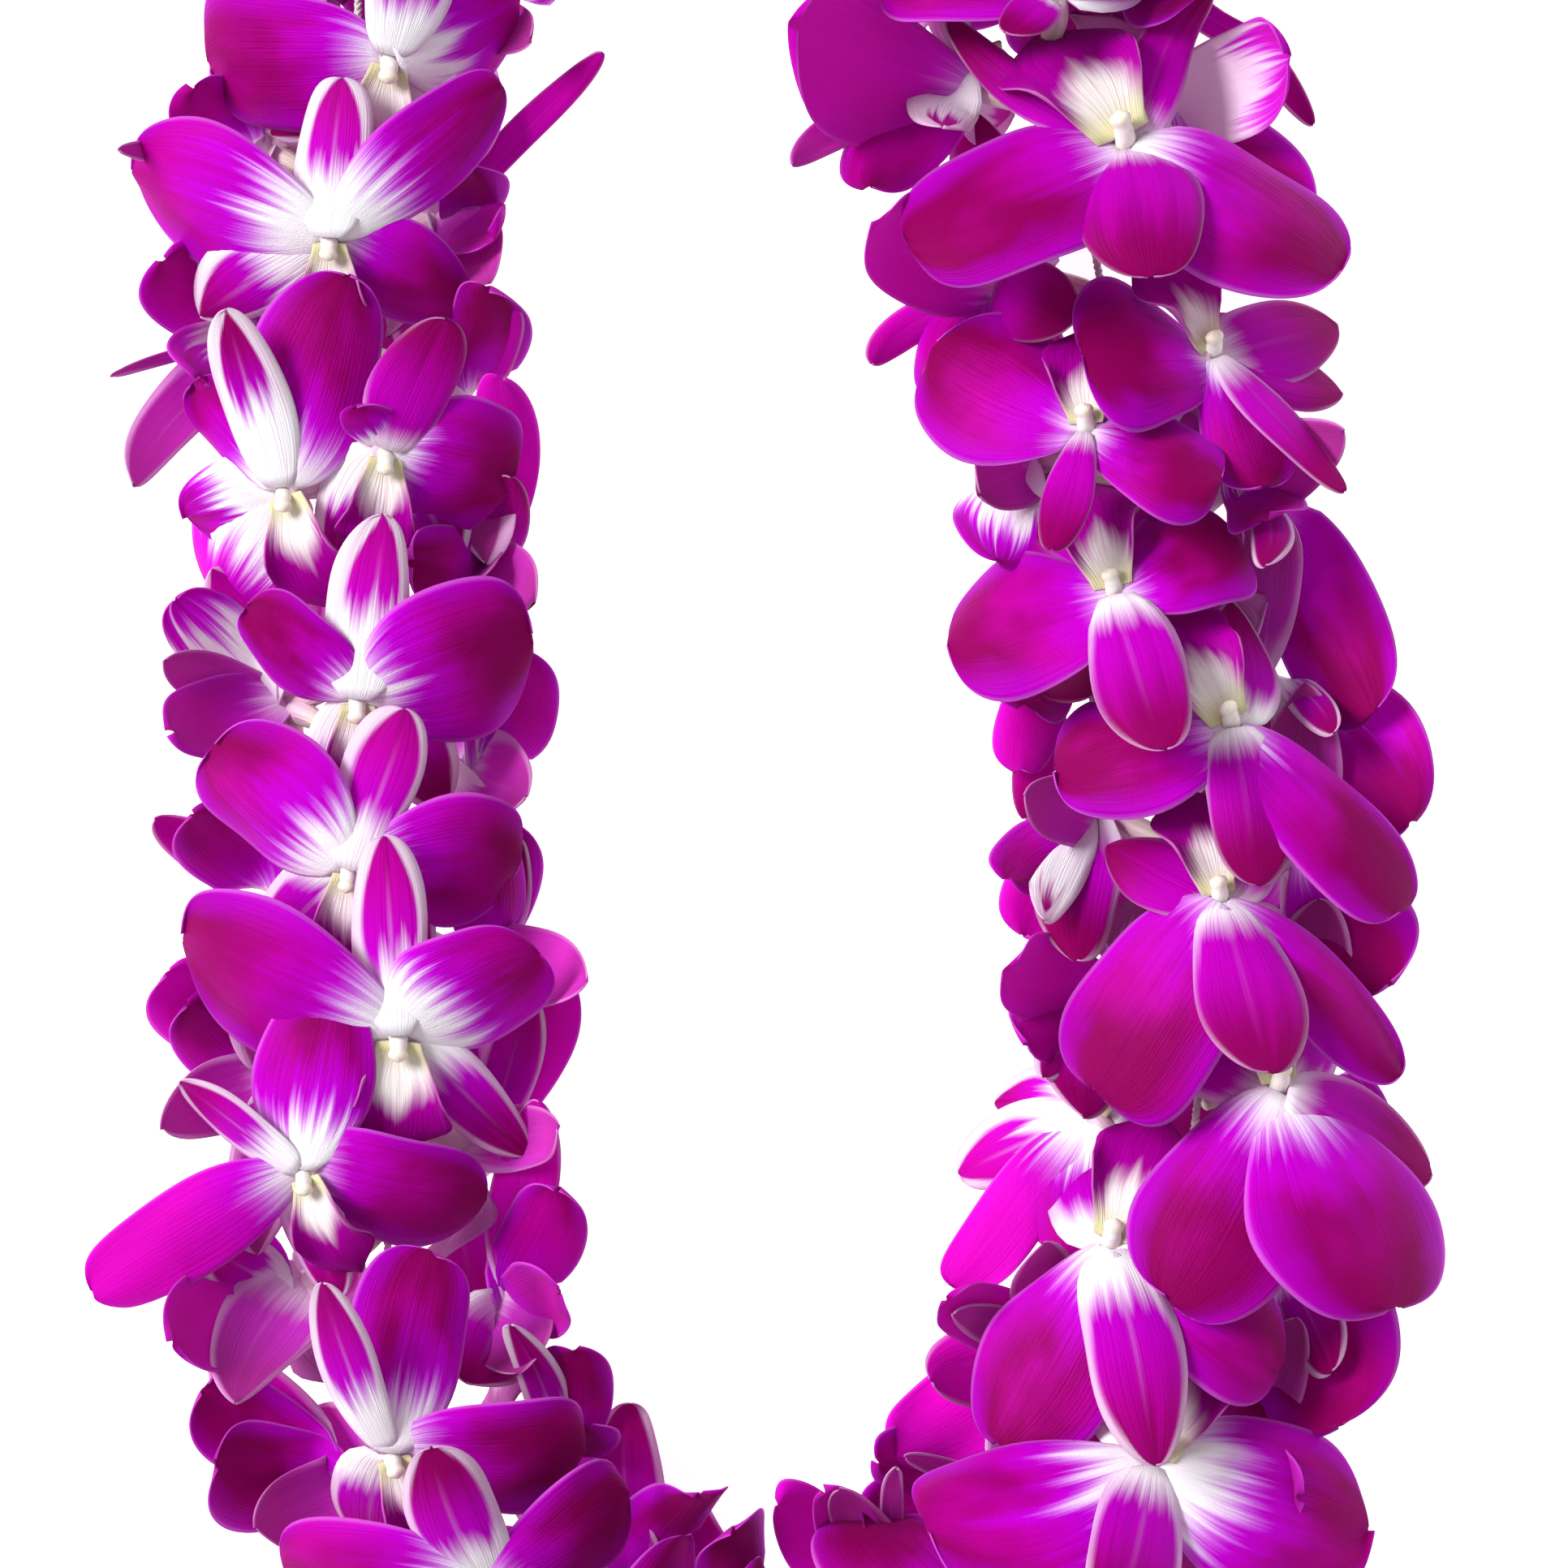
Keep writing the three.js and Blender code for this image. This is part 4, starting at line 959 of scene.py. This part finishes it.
def stalk_material():
    """The chin, ovary and stalk: pale pink and cream with lengthwise lines, greener towards the string."""
    pink, green, line_pink = (0.74, 0.5, 0.62), (0.72, 0.68, 0.5), (0.56, 0.22, 0.45)
    material, m = new_material("stalk")
    u, v, _, _, offset = where(m)
    lines = m.noise(v * 12, u * 1.5, offset * 30, detail=2.0)
    colour = m.mix(m.step(0.1, 0.8, u + lines * 0.5), pink, green)
    colour = m.mix(m.step(0.02, 0.3, lines) * 0.5, colour, line_pink)
    surface(m, colour, 0.45, lines, 0.0002)
    return material


def cotton_material():
    """Cotton thread: off-white, with fine fibres."""
    shaded, lit = (0.7, 0.67, 0.6), (0.88, 0.86, 0.8)
    material, m = new_material("cotton")
    place = m.node("ShaderNodeTexCoord").outputs["Object"]
    fibres = m.value(m.node("ShaderNodeTexNoise", Vector=place, Scale=5200.0, Detail=3.0).outputs[0])
    surface(m, m.mix(fibres, shaded, lit), 0.9, fibres, 0.0002, Sheen_Weight=0.3)
    return material


FINISHES = {
    "petal": petal_material(), "petal back": petal_material(back=True),
    "sepal": sepal_material(), "sepal back": sepal_material(back=True),
    "lip": lip_material(), "lip back": lip_material(back=True),
    "column": column_material(), "stalk": stalk_material(), "cotton": cotton_material(),
}


# The lei.

def add_orchid(body, index):
    """One orchid's surfaces, in a whorl's body."""
    seat = orchid_seat(index)
    tone = (paleness(index, draw(index, 6)), depth(index, 0), 0.5 + 0.5 * draw(index, 8))
    for part in BLADES:
        form = blade_form(seat, part)
        kind = "petal" if form["petal"] else "sepal"
        body.add(blade(seat, form), kind, (form["pale"], form["depth"], form["offset"]), back=kind + " back")
    body.add(lip(seat), "lip", tone, back="lip back")
    body.add(column(seat), "column", tone)
    body.add(chin(seat), "stalk", tone)
    body.add(stalk(seat), "stalk", tone)


for whorl in range(WHORLS):
    body = Body(["petal", "petal back", "sepal", "sepal back", "lip", "lip back", "column", "stalk"])
    for row in range(3):
        add_orchid(body, 3 * whorl + row)
    piece = body.object(f"three_orchids_{whorl + 1:02d}", FINISHES)
    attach(piece, "root")
    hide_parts(f"orchids_{whorl + 1:02d}")


# The string.

STRAND_RADIUS = 0.36  # also how far each strand's middle is from the string's
STRAND_TURN = 3  # of string to one turn of a strand
STRAND_STEP = 0.75
KNOT_SIZE = 0.42
KNOT_RISE = 0.75
KNOT_THREAD = 0.6
END_THREAD = 0.5
END_LENGTH = 6.5


def bend_place(whorl):
    """Where the string bends: half-way between one whorl's stalk ends and the next one's."""
    gap = KNOT_GAP if whorl % WHORLS == KNOT_WHORL else CORE_GAP
    return whorl_place(whorl + 1) - CORE_LEAD - gap / 2


def string_strands():
    """Three strands wound round the string's path, which is straight between its bends: each one's middle is
    the path plus STRAND_RADIUS times the cosine of its turn up and the sine to the right."""
    bends = np.array([[*route_point(bend_place(k)), STRING_HEIGHT] for k in range(WHORLS)])
    bends = np.concatenate([bends, bends[:1]])
    lengths = lengths_along(bends)
    rings = int(lengths[-1] / STRAND_STEP)
    s = np.arange(rings) * lengths[-1] / rings
    path = np.stack([np.interp(s, lengths, bends[:, k]) for k in range(3)], axis=-1)
    ahead = np.roll(path, -2, axis=0) - np.roll(path, 2, axis=0)
    ahead /= np.linalg.norm(ahead, axis=1, keepdims=True)
    up = np.array([0.0, 0.0, 1.0])
    right = np.cross(ahead, up)
    turns = round(lengths[-1] / STRAND_TURN)
    sides = 6
    for strand in range(3):
        phase = 2 * math.pi * (turns * s / lengths[-1] + strand / 3)
        middle = path + STRAND_RADIUS * (np.cos(phase)[:, None] * up + np.sin(phase)[:, None] * right)
        corner = np.arange(sides) * 2 * math.pi / sides
        ring = np.cos(corner)[:, None] * up + np.sin(corner)[:, None] * right[:, None]
        points = (middle[:, None] + STRAND_RADIUS * ring).reshape(-1, 3)
        uv = np.stack([np.repeat(s / STRAND_TURN, sides), np.tile(corner, rings)], axis=-1)
        yield points, ring_quads(rings, sides, closed=True), np.zeros((0, 3), dtype=int), uv


def knot_loops():
    """The knot: a trefoil of the string drawn tight, KNOT_SIZE times sin t + 2 sin 2t across and cos t - 2
    cos 2t ahead and KNOT_RISE times -sin 3t up, and the string's two cut ends, which rise to either side and
    sway as a sine."""
    t = np.linspace(0, 2 * math.pi, 61)[:, None]
    middle = np.array([*route_point(bend_place(KNOT_WHORL)), STRING_HEIGHT])
    up = np.array([0.0, 0.0, 1.0])
    right = np.array([*route_right(bend_place(KNOT_WHORL)), 0.0])
    ahead = np.cross(up, right)
    across, along = np.sin(t) + 2 * np.sin(2 * t), np.cos(t) - 2 * np.cos(2 * t)
    loop = middle + KNOT_SIZE * (across * right + along * ahead) - KNOT_RISE * np.sin(3 * t) * up
    yield tube(loop, np.full(len(t), KNOT_THREAD), 7)
    s = np.linspace(0, 1, 12)[:, None]
    for side in (-1, 1):
        sway = 1.2 * np.sin(2.5 * s) * ahead * side
        end = middle + END_LENGTH * s * 0.5 * (side * right + up) + sway
        yield tube(end, np.full(len(s), END_THREAD), 7)


thread = Body(["cotton"])
for strand in (*string_strands(), *knot_loops()):
    thread.add(strand, "cotton", (0.5, 0.5, 0.5))
thread = thread.object("twisted_string", FINISHES)
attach(thread, "root")
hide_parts("string")


# The floor, the lights and the camera.

FLOOR_REACH = 3


def floor():
    """A plain pale sheet that the lei lies on."""
    mesh = bpy.data.meshes.new("floor")
    corners = [(x * FLOOR_REACH, y * FLOOR_REACH, 0) for x, y in ((-1, -1), (1, -1), (1, 1), (-1, 1))]
    mesh.from_pydata(corners, [], [(0, 1, 2, 3)])
    made = bpy.data.objects.new("floor", mesh)
    bpy.context.scene.collection.objects.link(made)
    material, m = new_material("floor")
    surface(m, (0.92, 0.92, 0.92), 0.9, Emission_Color=(1, 1, 1, 1), Emission_Strength=0.8)
    mesh.materials.append(material)
    return made


def soft_sun(energy, width, away):
    """A sun of this width in degrees that shines from the direction away, so that its own Z points there."""
    lamp = bpy.data.lights.new("sun", "SUN")
    lamp.energy = energy
    lamp.angle = math.radians(width)
    made = bpy.data.objects.new("sun", lamp)
    x, y, z = away
    made.rotation_euler = (math.acos(z / np.linalg.norm(away)), 0, math.atan2(y, x) + math.pi / 2)
    bpy.context.scene.collection.objects.link(made)


def pale_studio(strength):
    """An even white light from all round."""
    world = bpy.data.worlds.new("studio")
    bpy.context.scene.world = world
    world.use_nodes = True
    background = world.node_tree.nodes["Background"]
    background.inputs["Color"].default_value = (1, 1, 1, 1)
    background.inputs["Strength"].default_value = strength


def camera_above():
    """The camera over VIEW_CENTRE: its lens is to its sensor as its height to the picture's width."""
    camera = bpy.data.cameras.new("camera")
    camera.sensor_width = 36
    camera.lens = camera.sensor_width * VIEW_HEIGHT / VIEW_WIDTH
    camera.clip_start, camera.clip_end = 0.05, 20
    made = bpy.data.objects.new("camera", camera)
    made.location = np.array([*VIEW_CENTRE, VIEW_HEIGHT + VIEW_LEVEL]) / 1000
    bpy.context.scene.collection.objects.link(made)
    bpy.context.scene.camera = made


floor()
soft_sun(energy=4, width=25, away=(-0.85, 0.4, 0.83))
pale_studio(strength=0.55)
camera_above()
bpy.context.scene.view_settings.view_transform = "Standard"
